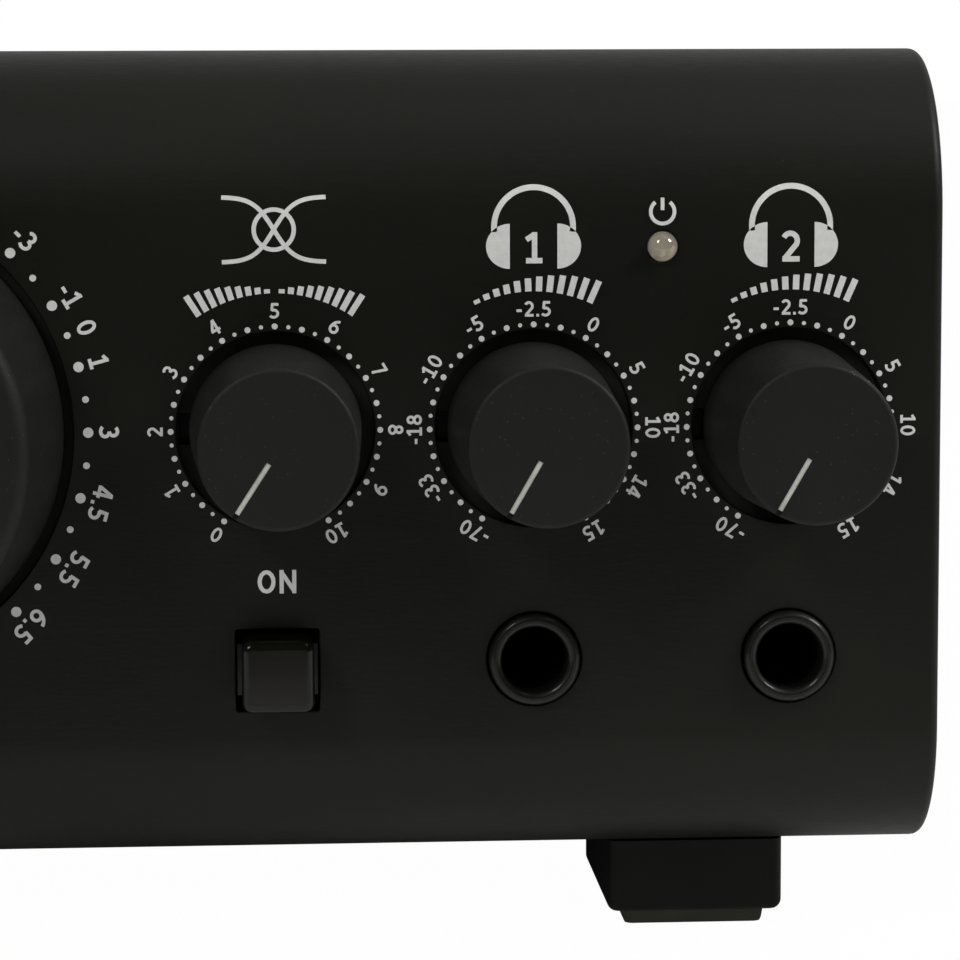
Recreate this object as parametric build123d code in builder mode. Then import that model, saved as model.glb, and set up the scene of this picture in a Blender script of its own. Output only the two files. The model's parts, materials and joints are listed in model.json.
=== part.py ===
from build123d import *

import os

# Desktop studio monitor controller, modelled in millimetres.
# +X is right and +Z is up; the front faces -Y. The origin is on the surface the feet stand on,
# at the middle of the overall width and depth. Depths are measured back from the front face.

os.makedirs("parts", exist_ok=True)

# case
case_width = 215.0
case_height = 79.6          # without the feet
case_depth = 220.0
shell_t = 2.5               # sheet of the wrapped shell: front, top and bottom in one
bend_top_r = 16.0           # outside radius where the front turns into the top
bend_bottom_r = 13.0        # outside radius where the front turns into the bottom
tray_t = 1.5
side_t = 1.5
rear_t = 1.5
nest_gap = 0.2              # between sheets that nest in each other
side_inset = 1.0            # side panels lie this far inside the shell's edges
rear_inset = 1.0            # rear panel lies this far inside the shell's edge
tray_flange_h = 14.0
side_screw_front = 40.0     # depth of the front screws in the side panels
side_screw_rear = 26.0      # rear screws, from the tray's rear edge
rear_flange_d = 11.0
rear_flange_gap = 1.0       # tray flange to the rear panel's flange
flange_bend_room = 2.0      # tray bend to the start of its side flanges
rear_screw_rise = 22.0      # lower rear screws above the tray's screws
rear_screw_drop = 14.0      # upper rear screws below the inside of the top

vent_length = 26.0
vent_width = 3.0
vent_pitch = 7.0
vent_columns = 20
vent_row_pitch = 34.0
vent_rear_margin = 62.0     # rear edge to the middle of the vent field

# feet
foot_width = 17.8
foot_depth = 25.0
foot_h = 7.4
foot_margin = 13.9          # case side to foot side
foot_front_margin = 10.5    # case front to the front feet
foot_rear_margin = 14.0
foot_corner_r = 1.2
foot_rim_r = 1.0
foot_web = 2.5              # plastic between the screw head and the case
foot_recess_clear = 0.3
pad_t = 1.6                 # how far the rubber stands below the foot
pad_seat = 0.6              # how far the rubber is let into the foot
pad_inset = 1.4
pad_side_clear = 0.1
pad_taper = 10.0
foot_screw_r = 1.5
foot_screw_head_r = 2.9
foot_screw_head_h = 1.8
foot_screw_grip = 4.0       # thread standing above the tray floor

# front layout
knob_row_drop = 36.5        # case top to the knob axes
column_margin = 15.0        # case side to the outermost column, on either side
column_pitch = 25.0
button_row_rise = 19.7      # case bottom to the lower row of buttons
jack_row_rise = 20.5        # case bottom to the headphone sockets
led_margin = 27.5           # case side to the power lamp
led_rise = 17.55            # knob axes to the power lamp

# knobs
knob_sink = 1.0             # skirt standing inside the shell's hole
volume_base_r = 22.2
volume_face_r = 19.9
volume_reach = 20.2         # face in front of the case
volume_rim_r = 1.6
volume_hole_r = 23.05
volume_wall = 2.4
volume_hollow = 12.0
small_base_r = 8.35
small_face_r = 7.55
small_reach = 18.0
small_rim_r = 0.45
small_hole_r = 9.55
hub_r = 6.9
nut_room_r = 6.9
nut_room_depth = 3.6
pointer_width = 0.5
pointer_depth = 0.3
pointer_start = 0.2         # share of the face radius where the groove begins
pointer_clock = -150.0      # where a knob at its end stop points, clockwise from the top
crossfeed_turned = 3.0      # how far the crossfeed knob stands from its end stop at rest

# rotary controls
shaft_r = 3.0
shaft_clear = 0.05          # radial running clearance in the bushing
shaft_flat = 1.5
shaft_seat_clear = 0.03     # shaft in the knob's bore
shaft_end_room = 4.6        # knob face to the shaft's tip
shaft_tip_room = 0.5        # air between the tip and the end of the knob's bore
bushing_r = 3.5
bushing_reach = 4.4         # bushing in front of the tray
bushing_hole_clear = 0.1
control_r = 6.4
control_depth = 9.8         # tray to front board
control_plate_w = 18.6
control_plate_h = 13.0
control_plate_t = 1.2
shaft_in_control = 5.5
shaft_end_clear = 0.5       # shaft's rear end to the end of its hole
lug_offset = 8.7            # locating lug from the shaft axis
lug_width = 1.0
lug_height = 2.8
lug_clear = 0.15
lug_reach = 0.5
volume_control_r = 13.0
volume_gang_depth = 5.6
volume_gangs = 4
gang_waist = 1.2
nut_flats = 10.0
nut_t = 2.0
washer_r = 5.9
washer_t = 0.5

# push buttons
button_hole = 8.1
button_width = 7.0
button_collar_w = 7.8       # the collar that fills the hole from side to side
button_reach = 4.6
button_corner_r = 1.0
button_rim_r = 0.85
button_travel = 3.0
button_back = 2.4           # depth of the cap's back
collar_depth = 0.7          # depth where the collar starts
plunger_outer = 5.8
plunger_inner = 4.5
plunger_end = 10.0          # depth of the plunger's end at rest
button_face_t = 1.7
switch_width = 9.5
switch_face_room = 1.0      # pressed cap to the switch's face
switch_clear = 0.1
switch_floor_room = 0.4     # pressed plunger to the switch's floor
lamp_r = 1.4
lamp_bevel = 0.5
lamp_room = 1.2             # pressed cap's inside to the lamp's tip
spring_r = 1.85
spring_wire = 0.3
spring_turns = 4

# power lamp
led_r = 1.48
led_reach = 1.3
led_flange_r = 1.9
led_flange_t = 1.0
led_hole_clear = 0.07
led_lead = 0.5
led_lead_pitch = 2.54

# headphone sockets
jack_bore_r = 3.25          # takes the 6.35 mm plug
jack_nose_r = 4.42
jack_hole_clear = 0.2
jack_reach = 1.1
jack_bevel = 0.45
jack_body_w = 15.0
jack_body_h = 16.0
jack_body_gap = 0.4         # tray to the socket's body
jack_body_d = 25.0
jack_corner = 1.0
jack_bore_end = 22.0
contact_w = 2.4
contact_t = 0.35
contact_l = 5.5
contact_room = 0.3
contact_off_bore = 0.15     # contact to the plug's bore
contact_fronts = [7.5, 15.0]   # depths where the left and the right contact start

# boards and what stands on them
board_t = 1.6
board_gap = 0.2
board_cut_clear = 0.5       # front board to what passes through it
front_board_margin = 3.0
standoff_h = 6.0
standoff_r = 3.0
main_board_front = 5.0
main_board_rear_room = 37.5    # board's rear edge to the rear panel
main_board_margin = 3.5
toroid_front_room = 9.0     # full-width part of the main board to the transformer
toroid_left_room = 8.0      # narrow part of the main board to the transformer
standoff_inset = 8.0
board_screw_r = 1.5
board_screw_head_r = 2.7
board_screw_head_h = 1.6
board_screw_grip = 4.8      # thread inside the standoff
capacitor_r = 8.0
capacitor_h = 26.0
capacitor_edge = 0.8
capacitor_pitch = 19.0
capacitor_rear_room = 92.0  # board's rear edge to the rear row of capacitors
capacitor_left = 52.0
sink_rear_room = 48.0       # board's rear edge to the heat sink's base
sink_length = 70.0
sink_height = 28.0
sink_base_t = 3.0
sink_fin_t = 1.4
sink_fin_l = 12.0
sink_fins = 9
sink_left = 45.0

# mains transformer
toroid_r = 36.0
toroid_hole_r = 10.0
toroid_h = 32.0
toroid_edge = 6.0
toroid_edge_h = 4.8
toroid_side_room = 11.3     # transformer to the tray's side flange
toroid_rear_room = 10.0     # transformer to the mains inlet's body
toroid_plate_r = 21.0
toroid_plate_t = 2.0
stud_r = 2.9
stud_clear = 0.2
stud_above = 3.0
stud_nut_flats = 10.0
stud_nut_t = 5.0

# rear connectors
socket_pitch = 29.0
socket_margin = 21.5        # case side to the first socket's middle
socket_row_rise = 16.3      # rear panel's middle to either row
socket_plate_w = 26.0
socket_plate_h = 31.0
socket_plate_t = 2.0
socket_plate_corner = 2.5
socket_body_r = 11.8
socket_body_d = 20.0
socket_hole_clear = 0.2
socket_screw_x = 9.5
socket_screw_z = 12.0
socket_screw_r = 1.5
socket_screw_head_r = 2.6
socket_screw_head_h = 1.3
male_cup_r = 8.2
male_cup_depth = 14.5
male_collar_r = 10.2
male_collar_reach = 2.2
pin_circle_r = 4.0
pin_r = 1.2
pin_length = 12.0
pin_tip = 0.5
pin_angles = [150.0, 30.0, 270.0]
female_core_r = 7.9
female_groove_r = 9.6
female_depth = 13.0
female_collar_r = 11.4
female_collar_reach = 1.6
female_hole_r = 1.4
phono_pair = 7.25           # half the spacing of a pair
phono_sleeve_r = 4.15
phono_sleeve_wall = 0.6
phono_reach = 9.0
phono_base_r = 5.3
phono_base_t = 1.4
phono_core_end = 7.6
phono_core_hole_r = 1.65
phono_neck_r = 3.3
phono_neck_clear = 0.15
phono_body_d = 11.0
phono_body_r = 4.8
phono_hole_end = 5.5        # contact hole's end behind the panel's face

# mains inlet with fuse drawer and rocker
inlet_margin = 23.5         # case side to the inlet's middle
inlet_plate_w = 31.0
inlet_plate_h = 61.0
inlet_plate_t = 2.4
inlet_plate_corner = 2.0
inlet_body_w = 27.4
inlet_body_h = 56.0
inlet_body_d = 24.0
inlet_cut_clear = 0.2
well_w = 24.4
well_h = 16.8
well_depth = 17.0
well_corner = 4.5
well_drop = 12.0            # middle of the inlet to the well
blade_w = 2.0
blade_h = 4.0
blade_length = 13.0
blade_pitch = 14.0
blade_rise = 2.0
blade_root = 2.0
rocker_rise = 20.0
rocker_w = 19.0
rocker_r = 6.2
rocker_side_clear = 0.3
rocker_swing = 22.0         # full swing between the two positions
rocker_pivot_depth = 1.0    # pivot behind the plate's face
rocker_valley = 2.6         # pivot to the middle of the dished face
rocker_crest = 4.6          # pivot to the pressed and raised ends
rocker_pin_r = 1.3
rocker_pin_l = 1.0
rocker_pin_clear = 0.05
rocker_pin_end = 0.2        # pivot pin's end to the end of its hole
drawer_rise = 6.4
drawer_w = 23.6
drawer_h = 7.4
drawer_d = 15.0
drawer_clear = 0.15
drawer_lip = 0.9
drawer_lip_t = 1.6
drawer_rim_r = 0.6
fuse_r = 2.5
fuse_l = 20.0
fuse_clear = 0.15
fuse_depth = 8.0

# case screws
case_screw_r = 1.5
case_screw_head_r = 2.9
case_screw_head_h = 1.3
case_screw_length = 6.0
screw_hole_clear = 0.1
recess_w = 0.7
recess_l = 3.0
recess_depth = 0.8

# worked out from the sizes above
case_bottom = foot_h + pad_t
case_top = case_bottom + case_height
case_mid_z = case_bottom + case_height / 2
rear_face = case_depth - rear_inset                 # depth of the rear panel's outer face
overall_depth = volume_reach + rear_face + phono_reach
front_y = volume_reach - overall_depth / 2
knob_row_z = case_top - knob_row_drop
tray_front = shell_t + nest_gap
tray_back = tray_front + tray_t                     # depth of the upright tray wall's back
tray_floor = case_bottom + shell_t + nest_gap
floor_top = tray_floor + tray_t
tray_bend_r = bend_bottom_r - shell_t - nest_gap
upright_top = case_top - bend_top_r
side_inner = case_width / 2 - side_inset - side_t
inside_half = side_inner - nest_gap
front_board_face = tray_back + control_depth
front_board_back = front_board_face + board_t
board_bottom = floor_top + standoff_h
board_top = board_bottom + board_t
outer_column = case_width / 2 - column_margin
columns_right = [outer_column - i * column_pitch for i in (2, 1, 0)]
columns_left = [-x for x in columns_right]
volume_place = (0, knob_row_z)
crossfeed_place = (columns_right[0], knob_row_z)
phones_places = [(columns_right[1], knob_row_z), (columns_right[2], knob_row_z)]
small_places = [crossfeed_place, *phones_places]
button_row_z = case_bottom + button_row_rise
jack_z = case_bottom + jack_row_rise
jack_places = [(columns_right[1], jack_z), (columns_right[2], jack_z)]
led_place = (case_width / 2 - led_margin, knob_row_z + led_rise)
button_places = {
    "power_button": (columns_right[0], button_row_z),
    "speaker_a_button": (columns_left[2], knob_row_z),
    "speaker_b_button": (columns_left[1], knob_row_z),
    "mono_button": (columns_left[0], knob_row_z),
    "source_1_button": (columns_left[2], button_row_z),
    "source_2_button": (columns_left[1], button_row_z),
    "source_3_button": (columns_left[0], button_row_z),
}
all_buttons = list(button_places.values())
switch_face = button_back + button_travel + switch_face_room
switch_floor = plunger_end + button_travel + switch_floor_room
cap_inside = button_face_t - button_reach           # depth of the cap's inner face at rest
lamp_tip = cap_inside + button_travel + lamp_room
upper_row_z = case_mid_z + socket_row_rise
lower_row_z = case_mid_z - socket_row_rise
socket_columns = [socket_margin - case_width / 2 + i * socket_pitch for i in range(4)]
male_places = [(x, lower_row_z) for x in socket_columns]
female_places = [(x, upper_row_z) for x in socket_columns[:2]]
phono_places = [(x + side * phono_pair, upper_row_z) for x in socket_columns[2:] for side in (-1, 1)]
rocker_z = case_mid_z + rocker_rise
drawer_z = case_mid_z + drawer_rise
well_z = case_mid_z - well_drop
inlet_x = case_width / 2 - inlet_margin
inlet_front = rear_face + inlet_plate_t             # outermost face of the inlet's plate
foot_x = case_width / 2 - foot_margin - foot_width / 2
foot_depths = [foot_front_margin + foot_depth / 2, case_depth - foot_rear_margin - foot_depth / 2]
foot_places = [(side * foot_x, front_y + d) for side in (-1, 1) for d in foot_depths]
rear_panel_in = rear_face - rear_t                  # depth of the rear panel's inner face
tray_end = rear_panel_in - nest_gap
panel_bottom = case_bottom + shell_t + nest_gap     # side and rear panels stand inside the shell
panel_top = case_top - shell_t - nest_gap
panel_mid_z = (panel_bottom + panel_top) / 2
panel_length = case_depth - rear_inset - tray_front
toroid_x = inside_half - tray_t - toroid_side_room - toroid_r
toroid_depth = rear_face - inlet_body_d - toroid_rear_room - toroid_r
main_board_full_depth = toroid_depth - toroid_r - toroid_front_room
main_board_narrow = toroid_x - toroid_r - toroid_left_room      # right edge of the board's rear part
main_board_depth = rear_panel_in - main_board_rear_room


def at_depth(depth):
    """Plane across the case: x right, y up, normal out of the front."""
    return Plane.XZ.offset(-(front_y + depth))


def turning_plane(place):
    """Plane through a front-to-back axis: x is the radius, y is the depth."""
    return Plane(origin=(place[0], front_y, place[1]), x_dir=(1, 0, 0), z_dir=(0, 0, 1))


def turning_axis(place):
    return Axis((place[0], front_y, place[1]), (0, 1, 0))


def socket_screw_places(places):
    """Two screws in opposite corners of each round socket's plate."""
    return [
        (x + side * socket_screw_x, z - side * socket_screw_z) for x, z in places for side in (-1, 1)
    ]


def keep(part, name):
    part.label = name
    export_step(part, f"parts/{name}.step")


# wrapped shell
def bent_sheet(corners, radii, inner_corners, thickness):
    """Section of a bent sheet, from its outer and inner corner points and outside bend radii."""
    with BuildSketch() as section:
        with BuildLine():
            outer = FilletPolyline(*corners, radius=radii)
            inner = FilletPolyline(*inner_corners, radius=[r - thickness for r in radii])
            Line(outer @ 0, inner @ 0)
            Line(outer @ 1, inner @ 1)
        make_face()
    return section.sketch


rear_edge = front_y + case_depth
shell_section = bent_sheet(
    [(rear_edge, case_top), (front_y, case_top), (front_y, case_bottom), (rear_edge, case_bottom)],
    [bend_top_r, bend_bottom_r],
    [
        (rear_edge, case_top - shell_t),
        (front_y + shell_t, case_top - shell_t),
        (front_y + shell_t, case_bottom + shell_t),
        (rear_edge, case_bottom + shell_t),
    ],
    shell_t,
)

with BuildPart() as outer_shell:
    with BuildSketch(Plane.YZ):
        add(shell_section)
    extrude(amount=case_width / 2, both=True)
    with BuildSketch(at_depth(0)):
        with Locations(volume_place):
            Circle(volume_hole_r)
        with Locations(*small_places):
            Circle(small_hole_r)
        with Locations(*all_buttons):
            Rectangle(button_hole, button_hole)
        with Locations(*jack_places):
            Circle(jack_nose_r + jack_hole_clear)
        with Locations(led_place):
            Circle(led_r + led_hole_clear)
    extrude(amount=-shell_t, mode=Mode.SUBTRACT)
    with BuildSketch(Plane.XY.offset(case_top)):
        with Locations((0, rear_edge - vent_rear_margin)):
            with GridLocations(vent_pitch, vent_row_pitch, vent_columns, 2):
                SlotOverall(vent_length, vent_width, rotation=90)
    extrude(amount=-shell_t, mode=Mode.SUBTRACT)
    with BuildSketch(Plane.XY.offset(case_bottom)):
        with Locations(*foot_places):
            Circle(foot_screw_r + screw_hole_clear)
    extrude(amount=shell_t, mode=Mode.SUBTRACT)
keep(outer_shell.part, "outer_shell")

# inner tray
side_screw_depths = [side_screw_front, tray_end - side_screw_rear]
flange_start = tray_front + tray_bend_r + flange_bend_room
flange_screw_z = floor_top + tray_flange_h / 2

floor_end = front_y + tray_end
wall_face = front_y + tray_front
tray_section = bent_sheet(
    [(floor_end, tray_floor), (wall_face, tray_floor), (wall_face, upright_top)],
    [tray_bend_r],
    [(floor_end, floor_top), (wall_face + tray_t, floor_top), (wall_face + tray_t, upright_top)],
    tray_t,
)

with BuildPart() as chassis_tray:
    with BuildSketch(Plane.YZ):
        add(tray_section)
    extrude(amount=inside_half, both=True)
    with BuildSketch(Plane.XY.offset(floor_top)):
        flange_length = tray_end - flange_start
        with Locations((0, front_y + flange_start + flange_length / 2)):
            with GridLocations(2 * inside_half - tray_t, 1, 2, 1):
                Rectangle(tray_t, flange_length)
    extrude(amount=tray_flange_h)
    with BuildSketch(at_depth(tray_front)):
        with Locations(volume_place, *small_places):
            Circle(bushing_r + bushing_hole_clear)
        with Locations(*[(x - lug_offset, z) for x, z in (volume_place, *small_places)]):
            Rectangle(lug_width + 2 * lug_clear, lug_height + 2 * lug_clear)
        with Locations(*all_buttons):
            Rectangle(button_hole, button_hole)
        with Locations(*jack_places):
            Circle(jack_nose_r + jack_hole_clear)
        with Locations(led_place):
            Circle(led_r + led_hole_clear)
    extrude(amount=-tray_t, mode=Mode.SUBTRACT)
    with BuildSketch(Plane.XY.offset(tray_floor)):
        with Locations(*foot_places):
            Circle(foot_screw_r + screw_hole_clear)
    extrude(amount=tray_t, mode=Mode.SUBTRACT)
    with BuildSketch(Plane.YZ):
        with Locations(*[(front_y + d, flange_screw_z) for d in side_screw_depths]):
            Circle(case_screw_r + screw_hole_clear)
    extrude(amount=case_width / 2, both=True, mode=Mode.SUBTRACT)
keep(chassis_tray.part, "chassis_tray")

# side panels
rear_flange_z = [flange_screw_z + rear_screw_rise, case_top - shell_t - rear_screw_drop]
rear_screw_depth = rear_panel_in - rear_flange_d / 2
side_screw_places = [(d, flange_screw_z) for d in side_screw_depths]
side_screw_places += [(rear_screw_depth, z) for z in rear_flange_z]


def side_screw_spots(side):
    """Screw head positions on one side, local z pointing out of the case."""
    face_x = side * (case_width / 2 - side_inset)
    return [
        Plane(origin=(face_x, front_y + d, z), x_dir=(0, 1, 0), z_dir=(side, 0, 0)).location
        for d, z in side_screw_places
    ]


def make_side_panel(side, name):
    with BuildPart() as panel:
        with BuildSketch(Plane.YZ.offset(side * side_inner)) as outline:
            with Locations((front_y + tray_front + panel_length / 2, panel_mid_z)):
                Rectangle(panel_length, panel_top - panel_bottom)
            fillet(outline.vertices().group_by(Axis.X)[0].sort_by(Axis.Y)[-1], bend_top_r - tray_front)
            fillet(outline.vertices().group_by(Axis.X)[0].sort_by(Axis.Y)[0], bend_bottom_r - tray_front)
        extrude(amount=side * side_t)
        with Locations(*side_screw_spots(side)):
            CounterSinkHole(case_screw_r + screw_hole_clear, case_screw_head_r + screw_hole_clear)
    keep(panel.part, name)


make_side_panel(-1, "side_panel_left")
make_side_panel(1, "side_panel_right")

# rear panel
with BuildPart() as rear_panel:
    with BuildSketch(at_depth(rear_face)):
        with Locations((0, panel_mid_z)):
            Rectangle(2 * inside_half, panel_top - panel_bottom)
        with Locations(*male_places, *female_places):
            Circle(socket_body_r + socket_hole_clear, mode=Mode.SUBTRACT)
        with Locations(*phono_places):
            Circle(phono_neck_r + phono_neck_clear, mode=Mode.SUBTRACT)
        with Locations((inlet_x, case_mid_z)):
            Rectangle(
                inlet_body_w + 2 * inlet_cut_clear,
                inlet_body_h + 2 * inlet_cut_clear,
                mode=Mode.SUBTRACT,
            )
        with Locations(*socket_screw_places(male_places + female_places)):
            Circle(socket_screw_r + screw_hole_clear, mode=Mode.SUBTRACT)
    extrude(amount=rear_t)
    with BuildSketch(at_depth(rear_panel_in)):
        flange_bottom = floor_top + tray_flange_h + rear_flange_gap
        with Locations((0, (flange_bottom + panel_top) / 2)):
            with GridLocations(2 * inside_half - rear_t, 1, 2, 1):
                Rectangle(rear_t, panel_top - flange_bottom)
        with Locations((0, panel_top - rear_t / 2)):
            Rectangle(2 * inside_half, rear_t)
    extrude(amount=rear_flange_d)
    with BuildSketch(Plane.YZ):
        with Locations(*[(front_y + rear_screw_depth, z) for z in rear_flange_z]):
            Circle(case_screw_r + screw_hole_clear)
    extrude(amount=case_width / 2, both=True, mode=Mode.SUBTRACT)
keep(rear_panel.part, "rear_panel")


# screws
def countersunk_screws(spots):
    """Countersunk screws with a cross recess; each spot's z points out of the head."""
    with BuildPart() as screws:
        with Locations(*spots):
            Cone(
                case_screw_r,
                case_screw_head_r,
                case_screw_head_h,
                align=(Align.CENTER, Align.CENTER, Align.MAX),
            )
            with Locations((0, 0, -case_screw_head_h)):
                Cylinder(
                    case_screw_r,
                    case_screw_length - case_screw_head_h,
                    align=(Align.CENTER, Align.CENTER, Align.MAX),
                )
        for turn in (0, 90):
            with Locations(*[spot * Location((0, 0, 0), (0, 0, turn)) for spot in spots]):
                Box(
                    recess_l,
                    recess_w,
                    recess_depth,
                    align=(Align.CENTER, Align.CENTER, Align.MAX),
                    mode=Mode.SUBTRACT,
                )
    return screws.part


keep(countersunk_screws(side_screw_spots(-1) + side_screw_spots(1)), "case_screws")

# feet
foot_recess_r = foot_screw_head_r + foot_recess_clear

with BuildPart() as feet:
    with BuildSketch(Plane.XY.offset(pad_t)):
        with Locations(*foot_places):
            RectangleRounded(foot_width, foot_depth, foot_corner_r)
    extrude(amount=foot_h)
    fillet(feet.faces().filter_by(Axis.Z).group_by(Axis.Z)[0].edges(), foot_rim_r)
    with BuildSketch(Plane.XY.offset(pad_t)):
        with Locations(*foot_places):
            Rectangle(foot_width - 2 * pad_inset, foot_depth - 2 * pad_inset)
    extrude(amount=pad_seat, mode=Mode.SUBTRACT)
    with BuildSketch(Plane.XY.offset(pad_t)):
        with Locations(*foot_places):
            Circle(foot_recess_r)
    extrude(amount=foot_h - foot_web, mode=Mode.SUBTRACT)
    with BuildSketch(Plane.XY.offset(pad_t)):
        with Locations(*foot_places):
            Circle(foot_screw_r + screw_hole_clear)
    extrude(amount=foot_h, mode=Mode.SUBTRACT)
keep(feet.part, "feet")

with BuildPart() as foot_pads:
    with BuildSketch(Plane.XY.offset(pad_t + pad_seat)):
        with Locations(*foot_places):
            RectangleRounded(
                foot_width - 2 * (pad_inset + pad_side_clear),
                foot_depth - 2 * (pad_inset + pad_side_clear),
                foot_corner_r,
            )
    extrude(amount=-(pad_t + pad_seat), taper=pad_taper)
keep(foot_pads.part, "foot_pads")

with BuildPart() as foot_screws:
    head_z = case_bottom - foot_web
    with Locations(*[(x, y, head_z) for x, y in foot_places]):
        Cylinder(foot_screw_head_r, foot_screw_head_h, align=(Align.CENTER, Align.CENTER, Align.MAX))
        Cylinder(
            foot_screw_r,
            floor_top + foot_screw_grip - head_z,
            align=(Align.CENTER, Align.CENTER, Align.MIN),
        )
keep(foot_screws.part, "foot_screws")


# knobs
def make_knob(name, place, clock, base_r, face_r, reach, rim_r, hollow_r, hollow_depth):
    """Turned knob with a nut recess, a D-shaped bore and a pointer groove."""
    base = knob_sink
    with BuildPart() as knob:
        with BuildSketch(turning_plane(place)):
            Polygon((0, base), (base_r, base), (face_r, -reach), (0, -reach), align=None)
        revolve(axis=turning_axis(place))
        fillet(knob.edges().filter_by(GeomType.CIRCLE).sort_by(Axis.Y)[0], rim_r)
        with BuildSketch(at_depth(base)):
            with Locations(place):
                Circle(nut_room_r)
        extrude(amount=nut_room_depth, mode=Mode.SUBTRACT)
        if hollow_r > hub_r:
            with BuildSketch(at_depth(base)):
                with Locations(place):
                    Circle(hollow_r)
                    Circle(hub_r, mode=Mode.SUBTRACT)
            extrude(amount=hollow_depth, mode=Mode.SUBTRACT)
        with BuildSketch(at_depth(base)):
            with Locations(place):
                shaft_section(shaft_r + shaft_seat_clear)
        extrude(amount=base + reach - shaft_end_room + shaft_tip_room, mode=Mode.SUBTRACT)
        with BuildSketch(at_depth(-reach)):
            with Locations(place):
                groove_start = pointer_start * face_r
                groove_length = base_r - groove_start
                with PolarLocations(groove_start + groove_length / 2, 1, start_angle=90 - clock):
                    Rectangle(groove_length, pointer_width)
        extrude(amount=-pointer_depth, mode=Mode.SUBTRACT)
    keep(knob.part, name)


def shaft_section(radius):
    """A D: circle with one flat, in the active sketch."""
    Circle(radius)
    with Locations((0, radius)):
        Rectangle(2 * radius, 2 * shaft_flat, mode=Mode.SUBTRACT)


def make_shaft(name, place, reach):
    tip = reach - shaft_end_room
    with BuildPart() as shaft:
        with BuildSketch(at_depth(tray_back + shaft_in_control)):
            with Locations(place):
                Circle(shaft_r)
        extrude(amount=tray_back + shaft_in_control + bushing_front)
        with BuildSketch(at_depth(-bushing_front)):
            with Locations(place):
                shaft_section(shaft_r)
        extrude(amount=tip - bushing_front)
    keep(shaft.part, name)


bushing_front = bushing_reach - tray_front          # bushing's end in front of the case

make_knob(
    "volume_knob",
    volume_place,
    pointer_clock,
    volume_base_r,
    volume_face_r,
    volume_reach,
    volume_rim_r,
    volume_base_r - volume_wall,
    volume_hollow,
)
make_shaft("volume_shaft", volume_place, volume_reach)
for small_name, small_place, small_clock in (
    ("crossfeed", crossfeed_place, pointer_clock + crossfeed_turned),
    ("phones_1", phones_places[0], pointer_clock),
    ("phones_2", phones_places[1], pointer_clock),
):
    make_knob(
        f"{small_name}_knob",
        small_place,
        small_clock,
        small_base_r,
        small_face_r,
        small_reach,
        small_rim_r,
        hub_r,
        0,
    )
    make_shaft(f"{small_name}_shaft", small_place, small_reach)

# rotary controls
shaft_hole_r = shaft_r + shaft_clear
shaft_hole_end = tray_back + shaft_in_control + shaft_end_clear


def make_controls(name, places, plate_w, plate_h, drums):
    """Rotary controls: bushing, plate, locating lug and a body of round drums (radius, start, length)."""
    with BuildPart() as controls:
        with BuildSketch(at_depth(tray_back)):
            with Locations(*places):
                Rectangle(plate_w, plate_h)
        extrude(amount=-control_plate_t)
        for drum_r, drum_start, drum_length in drums:
            with BuildSketch(at_depth(tray_back + drum_start)):
                with Locations(*places):
                    Circle(drum_r)
            extrude(amount=-drum_length)
        with BuildSketch(at_depth(tray_back)):
            with Locations(*places):
                Circle(bushing_r)
        extrude(amount=tray_back + bushing_front)
        with BuildSketch(at_depth(tray_back)):
            with Locations(*[(x - lug_offset, z) for x, z in places]):
                Rectangle(lug_width, lug_height)
        extrude(amount=lug_reach)
        with BuildSketch(at_depth(-bushing_front)):
            with Locations(*places):
                Circle(shaft_hole_r)
        extrude(amount=-(bushing_front + shaft_hole_end), mode=Mode.SUBTRACT)
    keep(controls.part, name)


make_controls(
    "small_controls",
    small_places,
    control_plate_w,
    control_plate_h,
    [(control_r, 0, control_depth)],
)
volume_drums = []
for gang in range(volume_gangs):
    gang_start = control_plate_t + gang * volume_gang_depth
    volume_drums.append((volume_control_r - gang_waist, gang_start, gang_waist))
    volume_drums.append((volume_control_r, gang_start + gang_waist, volume_gang_depth - gang_waist))
make_controls(
    "volume_control",
    [volume_place],
    2 * volume_control_r,
    2 * volume_control_r,
    volume_drums,
)

with BuildPart() as control_washers:
    with BuildSketch(at_depth(tray_front)):
        with Locations(volume_place, *small_places):
            Circle(washer_r)
            Circle(bushing_r + bushing_hole_clear, mode=Mode.SUBTRACT)
    extrude(amount=washer_t)
keep(control_washers.part, "control_washers")

with BuildPart() as control_nuts:
    with BuildSketch(at_depth(tray_front - washer_t)):
        with Locations(volume_place, *small_places):
            RegularPolygon(nut_flats / 2, 6, major_radius=False)
            Circle(bushing_r + bushing_hole_clear, mode=Mode.SUBTRACT)
    extrude(amount=nut_t)
keep(control_nuts.part, "control_nuts")


# push buttons
def make_button(name, place):
    """Translucent cap in one with its square hollow plunger."""
    with BuildPart() as button:
        with BuildSketch(at_depth(button_back)):
            with Locations(place):
                RectangleRounded(button_width, button_width, button_corner_r)
        extrude(amount=button_back + button_reach)
        fillet(button.faces().sort_by(Axis.Y)[0].edges(), button_rim_r)
        with BuildSketch(at_depth(button_back)):
            with Locations(place):
                Rectangle(button_collar_w, button_width - 2 * button_corner_r)
        extrude(amount=button_back - collar_depth)
        with BuildSketch(at_depth(plunger_end)):
            with Locations(place):
                Rectangle(plunger_outer, plunger_outer)
        extrude(amount=plunger_end - button_back)
        with BuildSketch(at_depth(plunger_end)):
            with Locations(place):
                Rectangle(plunger_inner, plunger_inner)
        extrude(amount=plunger_end - cap_inside, mode=Mode.SUBTRACT)
    keep(button.part, name)


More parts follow.
